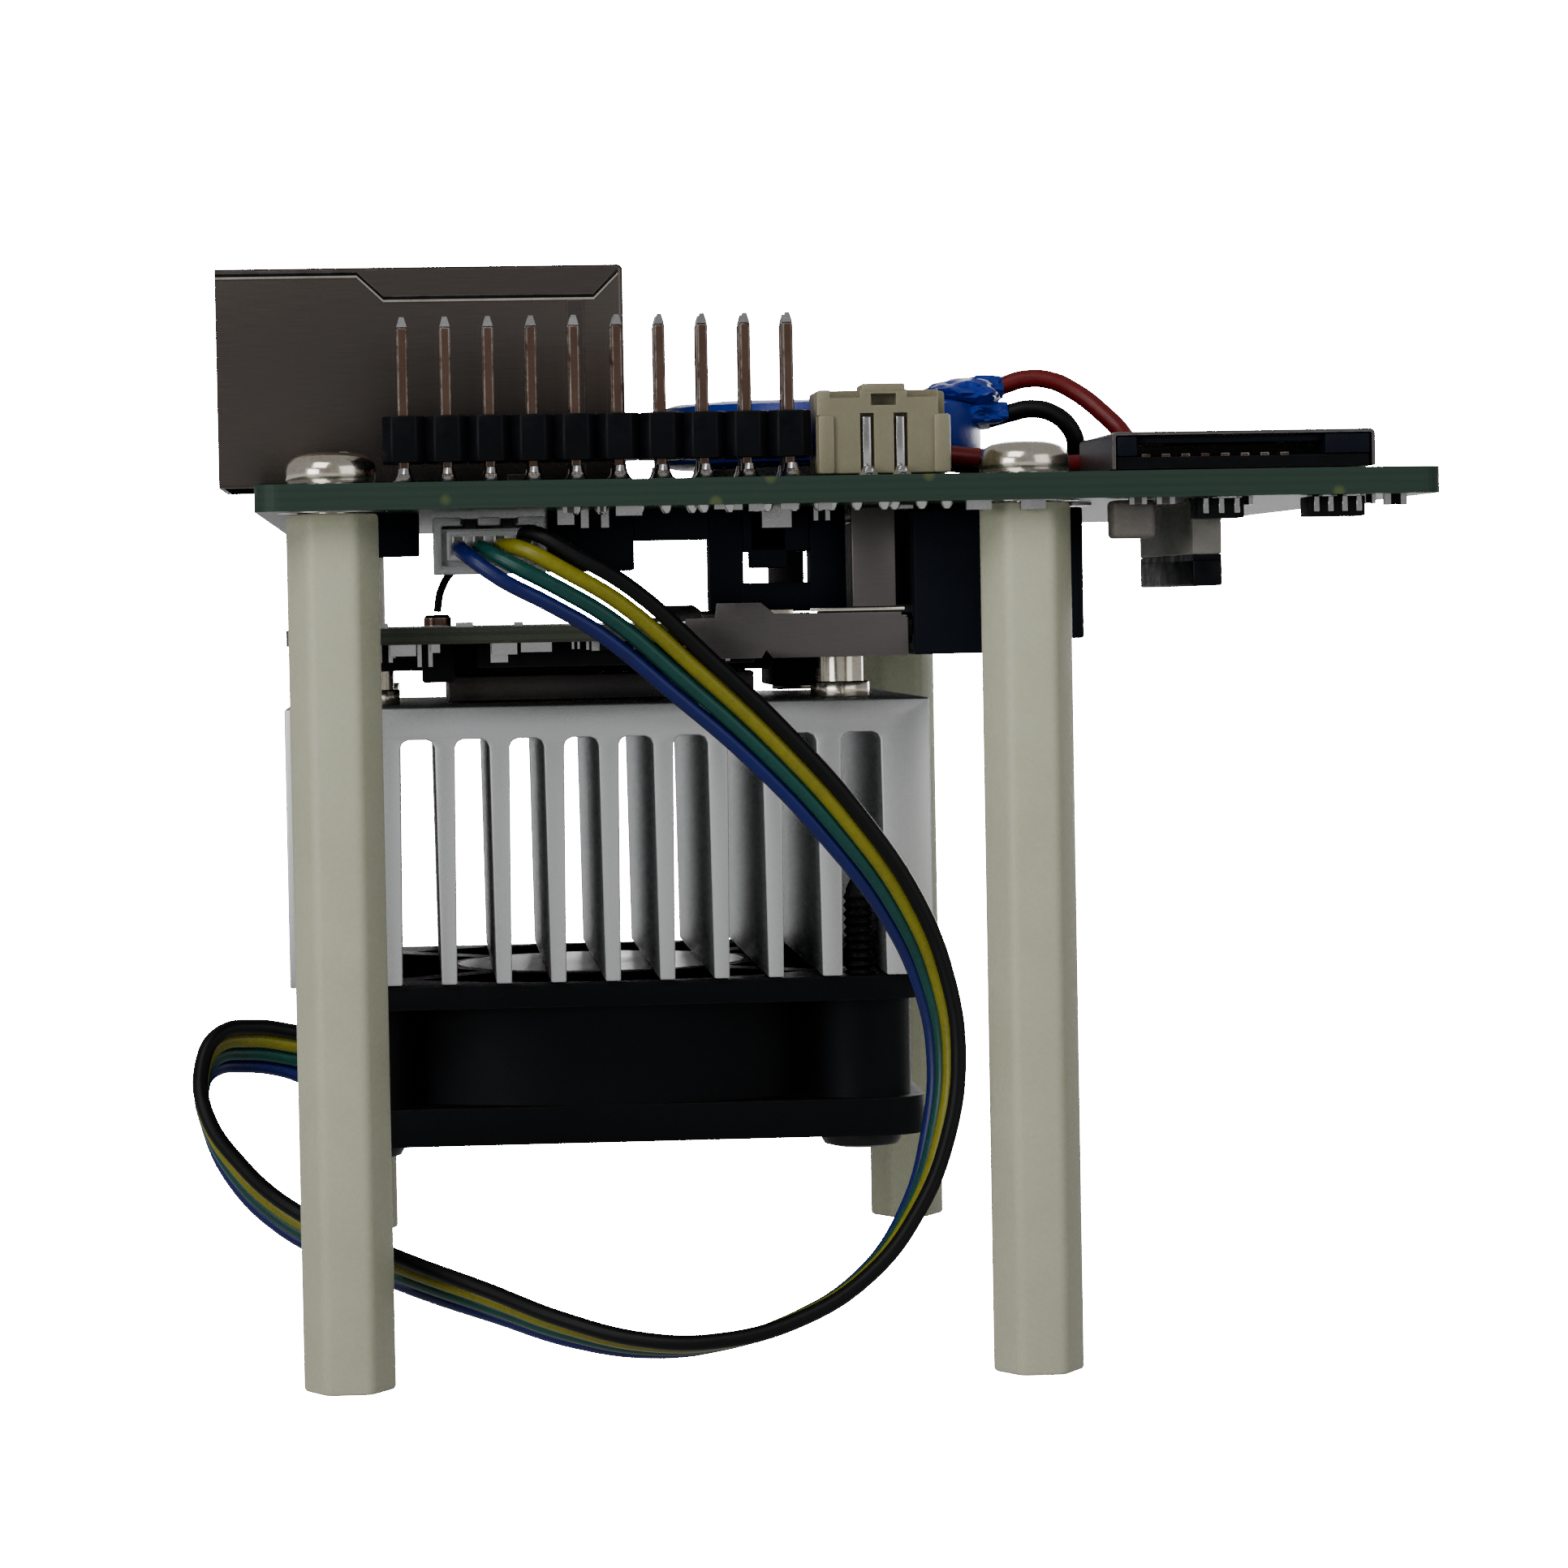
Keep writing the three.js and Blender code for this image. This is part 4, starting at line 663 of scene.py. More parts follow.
LEAD_ARROWS = [
    (1, 0, 0), (1, 0, 0.1), (0.9, 0, 0.35), (0.6, -0.1, 0.8),
    (0.6, -0.25, 0.75), (0.65, -0.35, 0.7), (0.66, -0.45, 0.6), (0.66, -0.55, 0.5),
    (0.6, -0.7, 0.32), (0.52, -0.82, 0.12), (0.42, -0.88, 0), (0.3, -0.92, -0.05),
    (0.12, -0.97, 0.02), (0.02, -0.99, 0.08), (0, -0.98, 0.12), (0, -0.97, 0.22),
    (0, -0.92, 0.34), (0.05, -0.86, 0.45), (0.1, -0.82, 0.5), (0.15, -0.78, 0.52),
    (0.2, -0.78, 0.5), (0.3, -0.8, 0.42), (0.3, -0.88, 0.25), (0.1, -0.98, 0.05),
    (0, -0.93, 0.3), (-0.05, -0.75, 0.55), (0, -0.6, 0.7), (0, -0.5, 0.8),
    (0, -0.4, 0.9), (0, -0.2, 1), (0, 0, 1),
]
LEAD_PITCH_MM = [
    1.25, 1.25, 1.15, 1.1, 1.12, 1.05, 0.97, 0.95, 0.95, 0.95, 0.95, 0.95, 0.95, 0.95,
    0.95, 0.95, 0.95, 0.95, 0.95, 0.95, 0.95, 0.95, 0.95, 0.95, 1.0, 1.15, 1.1, 1.0,
    1.0, 1.0, 1.0,
]
LEAD_WIRE_MM = 0.97


# %% Lead wires
def add_wire(name, points, width, material, replaces):
    data = bpy.data.curves.new(name, "CURVE")
    data.dimensions = "3D"
    data.bevel_depth = width / 2
    data.bevel_resolution = 3
    data.resolution_u = 6
    data.use_fill_caps = True
    line = data.splines.new("BEZIER")
    line.bezier_points.add(len(points) - 1)
    for knot, point in zip(line.bezier_points, points):
        knot.co = point
        knot.handle_left_type = knot.handle_right_type = "AUTO"
    data.materials.append(material)
    wire = bpy.data.objects.new(name, data)
    scene.collection.objects.link(wire)
    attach(wire, "computer")
    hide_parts(*replaces)
    return wire


def lead_wire(step):
    """The points of one wire, so many pitches from the ribbon's middle towards the black wire."""
    middle = [Vector(p) * MM for p in LEAD_ROUTE_MM]
    points = []
    for i, point in enumerate(middle):
        along = (middle[min(i + 1, len(middle) - 1)] - middle[max(i - 1, 0)]).normalized()
        arrow = Vector(LEAD_ARROWS[i])
        arrow = (arrow - arrow.dot(along) * along).normalized()
        points.append(point + arrow * step * LEAD_PITCH_MM[i] * MM)
    return points


def run_length(points):
    return sum((b - a).length for a, b in zip(points, points[1:]))


for colour, material, slot, step in (
    ("black", WIRE_BLACK, "wire_black", 1.5),
    ("yellow", WIRE_YELLOW, "wire_yellow", 0.5),
    ("green", WIRE_GREEN, "wire_green", -0.5),
    ("blue", WIRE_BLUE, "wire_blue", -1.5),
):
    route = lead_wire(step)
    print(colour, "wire:", round(run_length(route) / MM, 1), "mm")
    add_wire(
        f"fan_wire_{colour}", route, LEAD_WIRE_MM * MM, material,
        replaces=["fan_lead"],
    )

# %% [markdown]
# ## Clock battery wires and the aerial lead
# The red and black wires leave the blue sleeve at its right end, arch over, drop behind the card slot and
# turn back to the plug. The aerial lead is a hair-thin cable from the module up to the board.
# %% Short leads
RED_ROUTE_MM = [
    (11.6, -22.6, 59.7), (13.1, -22.5, 60.3), (14.2, -22.5, 60.6), (15.8, -22.7, 60.5), (17.4, -23.1, 59.7),
    (18.9, -23.9, 58.4), (20.2, -25, 56.8), (20.3, -26.5, 55.6), (18.9, -27.7, 55.1),
    (16.9, -28.2, 55), (14.7, -28.7, 55), (13, -30.4, 55.1), (11, -32, 55.3),
    (8.6, -33.2, 55.5), (6.2, -33.8, 55.9), (4.4, -34.6, 56.4), (4.1, -35.8, 56.7),
]
BLACK_ROUTE_MM = [
    (11.6, -24.6, 58), (13.1, -24.9, 58.4), (14.2, -25.1, 58.6), (15.6, -25.4, 58.3), (16.7, -25.6, 57.3),
    (17.1, -25.2, 56.1), (16.9, -24.2, 55.3), (16.9, -22.9, 55), (16.4, -21.7, 55),
    (15.2, -21.4, 55), (14.3, -22.7, 55), (14, -24.8, 55), (13.5, -27.4, 55),
    (12.1, -29.2, 55), (10, -30.7, 55), (7.7, -32, 55.2), (5.2, -32.9, 55.6),
    (3.2, -34, 56.3), (2.3, -35.8, 56.8),
]
AERIAL_ROUTE_MM = [
    (-23.4, -30.7, 46.5), (-23.1, -30.5, 47.9), (-22.2, -30, 49.2), (-20.6, -29, 50.1),
    (-18.4, -27.4, 50.5), (-15.8, -24.8, 50.6), (-13.8, -21, 50.5), (-12.8, -16.4, 50.4),
    (-12.6, -11.6, 50.5), (-12.6, -7, 50.9), (-12.6, -4.2, 51.7),
]
for name, route_mm, width, material, slot, node in (
    ("battery_lead_red", RED_ROUTE_MM, 1.2, WIRE_RED, "wire_red", "battery_wire_red"),
    ("battery_lead_black", BLACK_ROUTE_MM, 1.2, WIRE_BLACK, "wire_black", "battery_wire_black"),
    ("aerial_lead", AERIAL_ROUTE_MM, 0.5, WIRE_BLACK, "wire_black", "aerial_wire"),
):
    points = [Vector(p) * MM for p in route_mm]
    add_wire(name, points, width * MM, material, replaces=[node])

# %% [markdown]
# ## Legs and their screws
# The legs are hexagonal nylon spacers. Their long edges are rounded by the mould and both ends have a
# small chamfer. The lower end has the same threaded hole as the upper one, so thread grooves are cut into
# it. Each leg is held by a pan-head screw with a cross recess.
# %% Legs
CORNERS = ["front_left", "front_right", "back_left", "back_right"]
THREAD_RADIUS = 1.45 * MM
THREAD_PITCH = 0.5 * MM


def thread_profile(radius, pitch, low, high, depth):
    """Pairs of radius and height for a bar with grooves, from its lower end to its upper end."""
    profile = [(0, low), (radius - depth, low)]
    height = low
    while height + pitch < high:
        profile += [(radius, height + pitch / 2), (radius - depth, height + pitch)]
        height += pitch
    return profile + [(radius - depth, high), (0, high)]


def make_leg(corner):
    node = f"leg_{corner}"
    low, high = LOW[node], HIGH[node]
    bm = bmesh.new()
    radius = (high.x - low.x) / 2
    made = bmesh.ops.create_circle(bm, segments=6, radius=radius, cap_ends=True)["verts"]
    bmesh.ops.rotate(bm, verts=made, matrix=Matrix.Rotation(math.radians(30), 3, "Z"))
    top = bmesh.ops.extrude_face_region(bm, geom=bm.faces[:])["geom"]
    top = [g for g in top if isinstance(g, bmesh.types.BMVert)]
    bmesh.ops.translate(bm, verts=top, vec=(0, 0, high.z - low.z))
    upright = [e for e in bm.edges if abs((e.verts[0].co - e.verts[1].co).z) > MM]
    bmesh.ops.bevel(bm, geom=upright, offset=0.45 * MM, segments=4, profile=0.5, affect="EDGES", material=-1)
    ends = [e for e in bm.edges if e.is_manifold and e.calc_face_angle(0) > math.radians(60)]
    bmesh.ops.bevel(bm, geom=ends, offset=0.25 * MM, segments=2, profile=0.5, affect="EDGES", material=-1)
    middle = (low + high) / 2
    bmesh.ops.translate(bm, verts=bm.verts, vec=(middle.x, middle.y, low.z))
    leg = close_piece(bm, f"{node}_bar", NYLON, [node])
    bore = bmesh.new()
    profile = thread_profile(THREAD_RADIUS, THREAD_PITCH, -0.5 * MM, 7 * MM, 0.25 * MM)
    add_turned(bore, profile, (middle.x, middle.y, 0), 24)
    return carve(leg, bore)


for corner in CORNERS:
    make_leg(corner)
print("legs:", len(CORNERS))


# %% Leg screws
def make_leg_screw(corner):
    node = f"leg_screw_{corner}"
    low, high = LOW[node], HIGH[node]
    middle = (low + high) / 2
    radius = (high.x - low.x) / 2
    seat = BOARD_TOP + 0.1 * MM
    tall = high.z - seat
    bm = bmesh.new()
    profile = [
        (0, low.z), (1.45 * MM, low.z), (1.45 * MM, seat), (radius * 0.96, seat), (radius, seat + tall * 0.1),
        (radius, seat + tall * 0.42), (radius * 0.97, seat + tall * 0.6), (radius * 0.88, seat + tall * 0.78),
        (radius * 0.72, seat + tall * 0.9), (radius * 0.45, seat + tall * 0.98), (0, high.z),
    ]
    add_turned(bm, profile, (middle.x, middle.y, 0), 48)
    screw = close_piece(bm, f"{node}_piece", NICKEL, [node])
    cross = bmesh.new()
    reach, half, deep = radius * 0.55, 0.38 * MM, 0.9 * MM
    for turn in (0, math.pi / 2):
        arm = add_block(cross, (-reach, -half, high.z - deep), (reach, half, high.z + MM))
        bmesh.ops.rotate(cross, verts=arm, matrix=Matrix.Rotation(turn + 0.6, 3, "Z"))
    bmesh.ops.translate(cross, verts=cross.verts, vec=(middle.x, middle.y, 0))
    return carve(screw, cross)


for corner in CORNERS:
    make_leg_screw(corner)
print("leg screws:", len(CORNERS))

# %% [markdown]
# ## Carrier board
# The board keeps its solid, and takes the circuit board finish. Tinned rings surround the four screw
# holes on both faces, as on the real board, where they earth the screws.
# %% Board
repaint("carrier_board", BOARD)


def make_earth_rings():
    bm = bmesh.new()
    thin = 0.04 * MM
    for corner in CORNERS:
        middle = centre(f"leg_{corner}")
        for base in (BOARD_TOP, BOARD_UNDER - thin):
            profile = [
                (1.8 * MM, base), (3.3 * MM, base), (3.3 * MM, base + thin), (1.8 * MM, base + thin),
                (1.8 * MM, base),
            ]
            add_turned(bm, profile, (middle.x, middle.y, 0), 32)
    return close_piece(bm, "earth_rings", SOLDER)


make_earth_rings()

# %% [markdown]
# ## Network jack
# The jack is a box folded from tinned steel. Its lid laps over the long sides: a narrow lip at first, then
# a deeper tab with slanted ends, and a strip of the back cover comes round near the far end. The mouth
# shows eight sprung gold contacts and two small lamps, and its rim has spring fingers.
# %% Jack shell
def make_jack_shell():
    low, high = LOW["network_jack_shell"], HIGH["network_jack_shell"]
    bm = bmesh.new()
    add_block(bm, low, high)
    mouth = [f for f in bm.faces if f.normal.x < -0.9]
    bmesh.ops.delete(bm, geom=mouth, context="FACES_ONLY")
    long_edges = [e for e in bm.edges if not e.is_boundary]
    bmesh.ops.bevel(
        bm, geom=long_edges, offset=0.3 * MM, segments=3, profile=0.5, affect="EDGES", material=-1,
    )
    bmesh.ops.recalc_face_normals(bm, faces=bm.faces)
    bmesh.ops.solidify(bm, geom=bm.faces[:], thickness=0.3 * MM)
    return close_piece(bm, "network_jack_can", TIN, ["network_jack_shell"])


def make_jack_lid():
    low, high = LOW["network_jack_shell"], HIGH["network_jack_shell"]
    bm = bmesh.new()
    proud = 0.1 * MM
    drop = [(0, 0.35), (8.6, 0.35), (10.2, 1.85), (23.0, 1.85), (24.5, 0.3), (24.5, 0.25), (0, 0.25)]
    for side, outward in ((low.y, -1), (high.y, 1)):
        outline = [
            (low.x + along * MM, side - outward * 0.05 * MM, high.z - down * MM) for along, down in drop[:5]
        ]
        outline += [
            (low.x + 24.5 * MM, side - outward * 0.05 * MM, high.z - 0.12 * MM),
            (low.x, side - outward * 0.05 * MM, high.z - 0.12 * MM),
        ]
        add_sheet(bm, outline, (0, outward * proud, 0))
        strip_low = (low.x + 21.3 * MM, side - 0.05 * MM, low.z + 0.4 * MM)
        strip_high = (low.x + 22.4 * MM, side + 0.05 * MM, high.z - 2.1 * MM)
        add_block(bm, strip_low, strip_high)
    add_block(
        bm, (low.x, low.y + 0.15 * MM, high.z - 0.1 * MM),
        (high.x - 0.3 * MM, high.y - 0.15 * MM, high.z - 0.01 * MM),
    )
    bmesh.ops.recalc_face_normals(bm, faces=bm.faces)
    soften(bm, 0.04 * MM, 1)
    return close_piece(bm, "network_jack_lid", TIN)


def make_jack_seam_shadow_and_highlight():
    """Painted shade and light at the seam: a black strip is a painted shadow in the gap under the lid's lip,
    and a nickel strip is a painted highlight on the cut edge of the side below it.
    """
    low, high = LOW["network_jack_shell"], HIGH["network_jack_shell"]
    gap, edge = bmesh.new(), bmesh.new()
    lip = [(0, 0.35), (8.6, 0.35), (10.2, 1.85), (23.0, 1.85), (24.5, 0.35)]
    for side, out in ((low.y, -1), (high.y, 1)):
        for (a, down_a), (b, down_b) in zip(lip, lip[1:]):
            # The first strip is painted shadow in the gap, the second a painted highlight along the side's
            # edge.
            for bm, start, wide, proud in ((gap, 0.0, 0.16, 0.05), (edge, 0.16, 0.13, 0.09)):
                corners = [
                    (a, down_a + start), (b, down_b + start), (b, down_b + start + wide),
                    (a, down_a + start + wide),
                ]
                add_sheet(
                    bm, [(low.x + x * MM, side - out * 0.03 * MM, high.z - z * MM) for x, z in corners],
                    (0, out * (proud + 0.03) * MM, 0),
                )
    # Black sheet: painted shadow under the lip. Nickel sheet: painted highlight on the edge below it.
    close_piece(gap, "network_jack_painted_shadow", HEADER_BLACK)
    close_piece(edge, "network_jack_painted_highlight", NICKEL)


def make_jack_fingers():
    """Springs pressed out of the top and sides near the mouth, and the feet that go into the board."""
    low, high = LOW["network_jack_shell"], HIGH["network_jack_shell"]
    bm = bmesh.new()
    for y in (low.y + 4 * MM, high.y - 4 * MM):
        roof = high.z - 0.62 * MM
        outline = [
            (low.x + 0.2 * MM, y - MM, roof), (low.x + 5 * MM, y - 0.7 * MM, roof),
            (low.x + 5 * MM, y + 0.7 * MM, roof), (low.x + 0.2 * MM, y + MM, roof),
        ]
        add_sheet(bm, outline, (0, 0, 0.2 * MM))
    for along in (5.5, 17.5):
        for y in (low.y - 0.02 * MM, high.y - 0.3 * MM):
            add_block(
                bm, (low.x + along * MM, y, BOARD_TOP - 0.5 * MM),
                (low.x + (along + 1.6) * MM, y + 0.32 * MM, low.z + 0.6 * MM),
            )
    soften(bm, 0.05 * MM, 1)
    return close_piece(bm, "network_jack_springs", TIN)


make_jack_shell()
make_jack_lid()
make_jack_seam_shadow_and_highlight()
make_jack_fingers()
repaint("network_jack_body", HEADER_BLACK)


# %% Jack contacts and lamps
def make_jack_contacts():
    low, high = LOW["network_jack_body"], HIGH["network_jack_body"]
    middle = (low.y + high.y) / 2
    roof = high.z - 2 * MM
    bm = bmesh.new()
    for i in range(8):
        y = middle + (i - 3.5) * 1.02 * MM
        outline = [
            (low.x + 2.5 * MM, y, roof - 0.2 * MM), (low.x + 12.5 * MM, y, roof - 4.6 * MM),
            (low.x + 12.9 * MM, y, roof - 4.3 * MM), (low.x + 3.0 * MM, y, roof),
        ]
        add_sheet(bm, outline, (0, 0.35 * MM, 0))
    return close_piece(bm, "network_jack_contacts", GOLD)


def make_jack_lamps():
    low, high = LOW["network_jack_body"], HIGH["network_jack_body"]
    bm = bmesh.new()
    for y in (low.y + 0.5 * MM, high.y - 3.3 * MM):
        add_block(
            bm, (low.x - 0.2 * MM, y, low.z + 0.6 * MM), (low.x + 2 * MM, y + 2.8 * MM, low.z + 2.2 * MM),
            0.2 * MM,
        )
    return close_piece(bm, "network_jack_lamps", CREAM)


make_jack_contacts()
make_jack_lamps()
print("network jack: shell, lid, springs, contacts, lamps")

# %% [markdown]
# ## Ports behind the jack
# Three more connectors share the left edge. The video and serial ports are folded shells with a plastic
# tongue that carries contacts, and the power jack is a moulded block with a round mouth and a centre pin.
# %% Port shells
def make_port(name, turn_out):
    low, high = LOW[f"{name}_shell"], HIGH[f"{name}_shell"]
    bm = bmesh.new()
    add_block(bm, low, high)
    mouth = [f for f in bm.faces if f.normal.x < -0.9]
    bmesh.ops.delete(bm, geom=mouth, context="FACES_ONLY")
    long_edges = [e for e in bm.edges if not e.is_boundary]
    bmesh.ops.bevel(
        bm, geom=long_edges, offset=0.7 * MM, segments=4, profile=0.5, affect="EDGES", material=-1,
    )
    rim = [e for e in bm.edges if e.is_boundary]
    lip = bmesh.ops.extrude_edge_only(bm, edges=rim)["geom"]
    lip = [g for g in lip if isinstance(g, bmesh.types.BMVert)]
    middle = (low + high) / 2
    for vert in lip:
        away = Vector((0, vert.co.y - middle.y, vert.co.z - middle.z)).normalized()
        vert.co += away * turn_out + Vector((-0.35 * MM, 0, 0))
    bmesh.ops.recalc_face_normals(bm, faces=bm.faces)
    bmesh.ops.solidify(bm, geom=bm.faces[:], thickness=0.28 * MM)
    return close_piece(bm, f"{name}_can", STAMPED, [f"{name}_shell"])


def make_port_contacts(name, count, width):
    low, high = LOW[f"{name}_tongue"], HIGH[f"{name}_tongue"]
    middle = centre(f"{name}_tongue")
    shell = LOW[f"{name}_shell"]
    tall = HIGH[f"{name}_shell"].z - shell.z
    rise = {"video_port": 0.4, "serial_port": 0.52}[name]
    under = shell.z + tall * rise
    bm = bmesh.new()
    span = (high.y - low.y) * 0.72
    for i in range(count):
        y = middle.y + span * (i / (count - 1) - 0.5)
        add_block(
            bm, (low.x + 0.6 * MM, y - width / 2, under - 0.08 * MM),
            (low.x + 6.5 * MM, y + width / 2, under + 0.02 * MM),
        )
    return close_piece(bm, f"{name}_contacts", GOLD)


make_port("video_port", 0.25 * MM)
make_port("serial_port", 0.4 * MM)
make_port_contacts("video_port", 10, 0.4 * MM)
make_port_contacts("serial_port", 4, 1.1 * MM)
repaint("video_port_tongue", HEADER_BLACK)
repaint("serial_port_tongue", WHITE_PLASTIC)


# %% Power jack
def make_power_jack():
    low, high = LOW["power_jack"], HIGH["power_jack"]
    middle_y = (low.y + high.y) / 2
    height = high.z - (high.y - low.y) / 2
    bm = bmesh.new()
    add_block(bm, low, (high.x, high.y, height), 0.3 * MM)
    body = close_piece(bm, "power_jack_body", HEADER_BLACK, ["power_jack"])
    barrel = bmesh.new()
    radius = (high.y - low.y) / 2
    add_turned(barrel, [
        (0, 0), (radius - 0.3 * MM, 0), (radius, 0.3 * MM), (radius, high.x - low.x - 0.3 * MM),
        (radius - 0.3 * MM, high.x - low.x), (0, high.x - low.x),
    ], (low.x, middle_y, height), 48, (1, 0, 0))
    carve(body, barrel, "UNION")
    bore = bmesh.new()
    add_bar(bore, (low.x - MM, middle_y, height), (low.x + 11 * MM, middle_y, height), 3.2 * MM, 40)
    carve(body, bore)
    bm = bmesh.new()
    add_turned(
        bm, [(0, 0), (0.6 * MM, 0.15 * MM), (MM, 0.8 * MM), (MM, 9.5 * MM), (0, 9.5 * MM)],
        (low.x + 1.6 * MM, middle_y, height), 24, (1, 0, 0),
    )
    close_piece(bm, "power_jack_pin", NICKEL)


make_power_jack()
print("ports: video, serial, power")

# %% [markdown]
# ## Pin header
# Ten columns of two square gold pins stand in a black strip. The strip is moulded as one block per column
# with its corners cut, so that it can be snapped to length. Each pin ends in a foot that is soldered to
# the board, with a shiny fillet of solder up its side.
# %% Header
PITCH = 2.54 * MM
COLUMNS = 10
PIN = 0.32 * MM


def make_header():
    low, high = LOW["pin_header"], HIGH["pin_header"]
    front_row = low.y + 2.2 * MM
    strip_front = front_row - PITCH / 2
    plastic, pins, joints, tips = bmesh.new(), bmesh.new(), bmesh.new(), bmesh.new()
    base = BOARD_TOP + 1.2 * MM
    cut = 0.55 * MM
    for column in range(COLUMNS):
        x = low.x + (column + 0.5) * PITCH
        x0, x1 = x - PITCH / 2, x + PITCH / 2
        y0, y1 = strip_front, strip_front + 2 * PITCH
        outline = [
            (x0 + cut, y0, base), (x1 - cut, y0, base), (x1, y0 + cut, base), (x1, y1 - cut, base),
            (x1 - cut, y1, base), (x0 + cut, y1, base), (x0, y1 - cut, base), (x0, y0 + cut, base),
        ]
        add_sheet(plastic, outline, (0, 0, 2.75 * MM))
        for row in (0, 1):
            y = front_row + row * PITCH
            out = -1 if row == 0 else 1
            add_block(pins, (x - PIN, y - PIN, BOARD_TOP + 0.1 * MM), (x + PIN, y + PIN, high.z - 0.6 * MM))
            tip = (x, y, high.z - 0.3 * MM)
            cone = bmesh.ops.create_cone(
                tips, cap_ends=True, segments=4, radius1=PIN * 1.36, radius2=PIN * 0.6, depth=0.6 * MM,
            )["verts"]
            bmesh.ops.rotate(tips, verts=cone, matrix=Matrix.Rotation(math.pi / 4, 3, "Z"))
            bmesh.ops.translate(tips, verts=cone, vec=tip)
            toe = sorted((y, y + out * 2.15 * MM))
            add_block(
                pins, (x - PIN, toe[0], BOARD_TOP + 0.1 * MM), (x + PIN, toe[1], BOARD_TOP + 0.5 * MM),
                0.1 * MM,
            )
            profile = [
                (0, 0), (0.75 * MM, 0), (0.6 * MM, 0.12 * MM), (0.45 * MM, 0.4 * MM), (0.36 * MM, 0.8 * MM),
                (0, 0.85 * MM),
            ]
            fillet = add_turned(joints, profile, (x, y + out * 1.5 * MM, BOARD_TOP + 0.02 * MM), 12)
            bmesh.ops.scale(
                joints, verts=fillet, vec=(1, 1.35, 1),
                space=Matrix.Translation((-x, -(y + out * 1.5 * MM), 0)),
            )
    bmesh.ops.recalc_face_normals(plastic, faces=plastic.faces)
    soften(plastic, 0.1 * MM, 2)
    close_piece(plastic, "pin_header_strip", HEADER_BLACK, ["pin_header"])
    soften(pins, 0.09 * MM, 1)
    close_piece(pins, "pin_header_pins", GOLD)
    close_piece(tips, "pin_header_tips", SOLDER)
    close_piece(joints, "pin_header_solder", SOLDER)


make_header()
print("pins:", 2 * COLUMNS)

# %% [markdown]
# ## Clock battery socket
# A cream block with two deep grooves down its front, where the bent pins show, a raised middle tab with a
# small window, and thin side cheeks. It is carved from one rounded block.
# %% Battery socket
def make_battery_socket():
    low, high = LOW["battery_socket"], HIGH["battery_socket"]
    middle = (low.x + high.x) / 2
    bm = bmesh.new()
    add_block(bm, low, (high.x, high.y, high.z), 0.2 * MM)
    body = close_piece(bm, "battery_socket_body", CREAM, ["battery_socket"])
    tools = bmesh.new()
    for x in (middle - 1.0 * MM, middle + 1.0 * MM):
        add_block(
            tools, (x - 0.42 * MM, low.y - MM, low.z - MM),
            (x + 0.42 * MM, low.y + 0.9 * MM, low.z + 3.6 * MM),
        )
    add_block(
        tools, (middle - 0.75 * MM, low.y - MM, high.z - 0.95 * MM),
        (middle + 0.75 * MM, low.y + 1.2 * MM, high.z - 0.25 * MM),
    )
    for side in (-1, 1):
        x = middle + side * 2.3 * MM
        add_block(
            tools, (x - 0.9 * MM, low.y - MM, high.z - 0.5 * MM),
            (x + 0.9 * MM, low.y + 1.5 * MM, high.z + MM),
        )
    add_block(
        tools, (high.x - 0.75 * MM, low.y - MM, high.z - 1.6 * MM),
        (high.x + MM, high.y - 2 * MM, high.z + MM),
    )
    add_block(
        tools, (low.x - MM, low.y - MM, low.z + 0.9 * MM),
        (low.x + 0.7 * MM, low.y + 0.5 * MM, high.z - 1.5 * MM),
    )
    add_block(
        tools, (middle - 3 * MM, high.y - 4 * MM, low.z + 0.7 * MM),
        (middle + 3 * MM, high.y + MM, high.z - 0.7 * MM),
    )
    carve(body, tools)
    extra = bmesh.new()
    add_block(
        extra, (middle - 1.3 * MM, low.y + 0.02 * MM, high.z - 0.3 * MM),
        (middle + 1.3 * MM, low.y + 3.4 * MM, high.z + 0.35 * MM), 0.12 * MM,
    )
    for side in (-1, 1):
        x = middle + side * 3.45 * MM
        add_block(
            extra, (x - 0.5 * MM, low.y - 0.3 * MM, low.z),
            (x + 0.5 * MM, low.y + 2.6 * MM, high.z - 1.5 * MM), 0.2 * MM,
        )
    close_piece(extra, "battery_socket_tab", CREAM)
    pins = bmesh.new()
    for x in (middle - 1.0 * MM, middle + 1.0 * MM):
        add_block(
            pins, (x - 0.25 * MM, low.y + 0.25 * MM, BOARD_TOP + 0.1 * MM),
            (x + 0.25 * MM, low.y + 0.6 * MM, low.z + 3.4 * MM), 0.06 * MM,
        )
        add_block(
            pins, (x - 0.25 * MM, low.y - 0.9 * MM, BOARD_TOP + 0.1 * MM),
            (x + 0.25 * MM, low.y + 0.5 * MM, BOARD_TOP + 0.4 * MM), 0.06 * MM,
        )
        profile = [(0, 0), (0.62 * MM, 0), (0.45 * MM, 0.2 * MM), (0.3 * MM, 0.5 * MM), (0, 0.6 * MM)]
        add_turned(pins, profile, (x, low.y - 0.3 * MM, BOARD_TOP + 0.02 * MM), 12)
    close_piece(pins, "battery_socket_pins", SOLDER)


make_battery_socket()
rounded_copy("battery_plug", CREAM, 0.25)
print("battery socket")

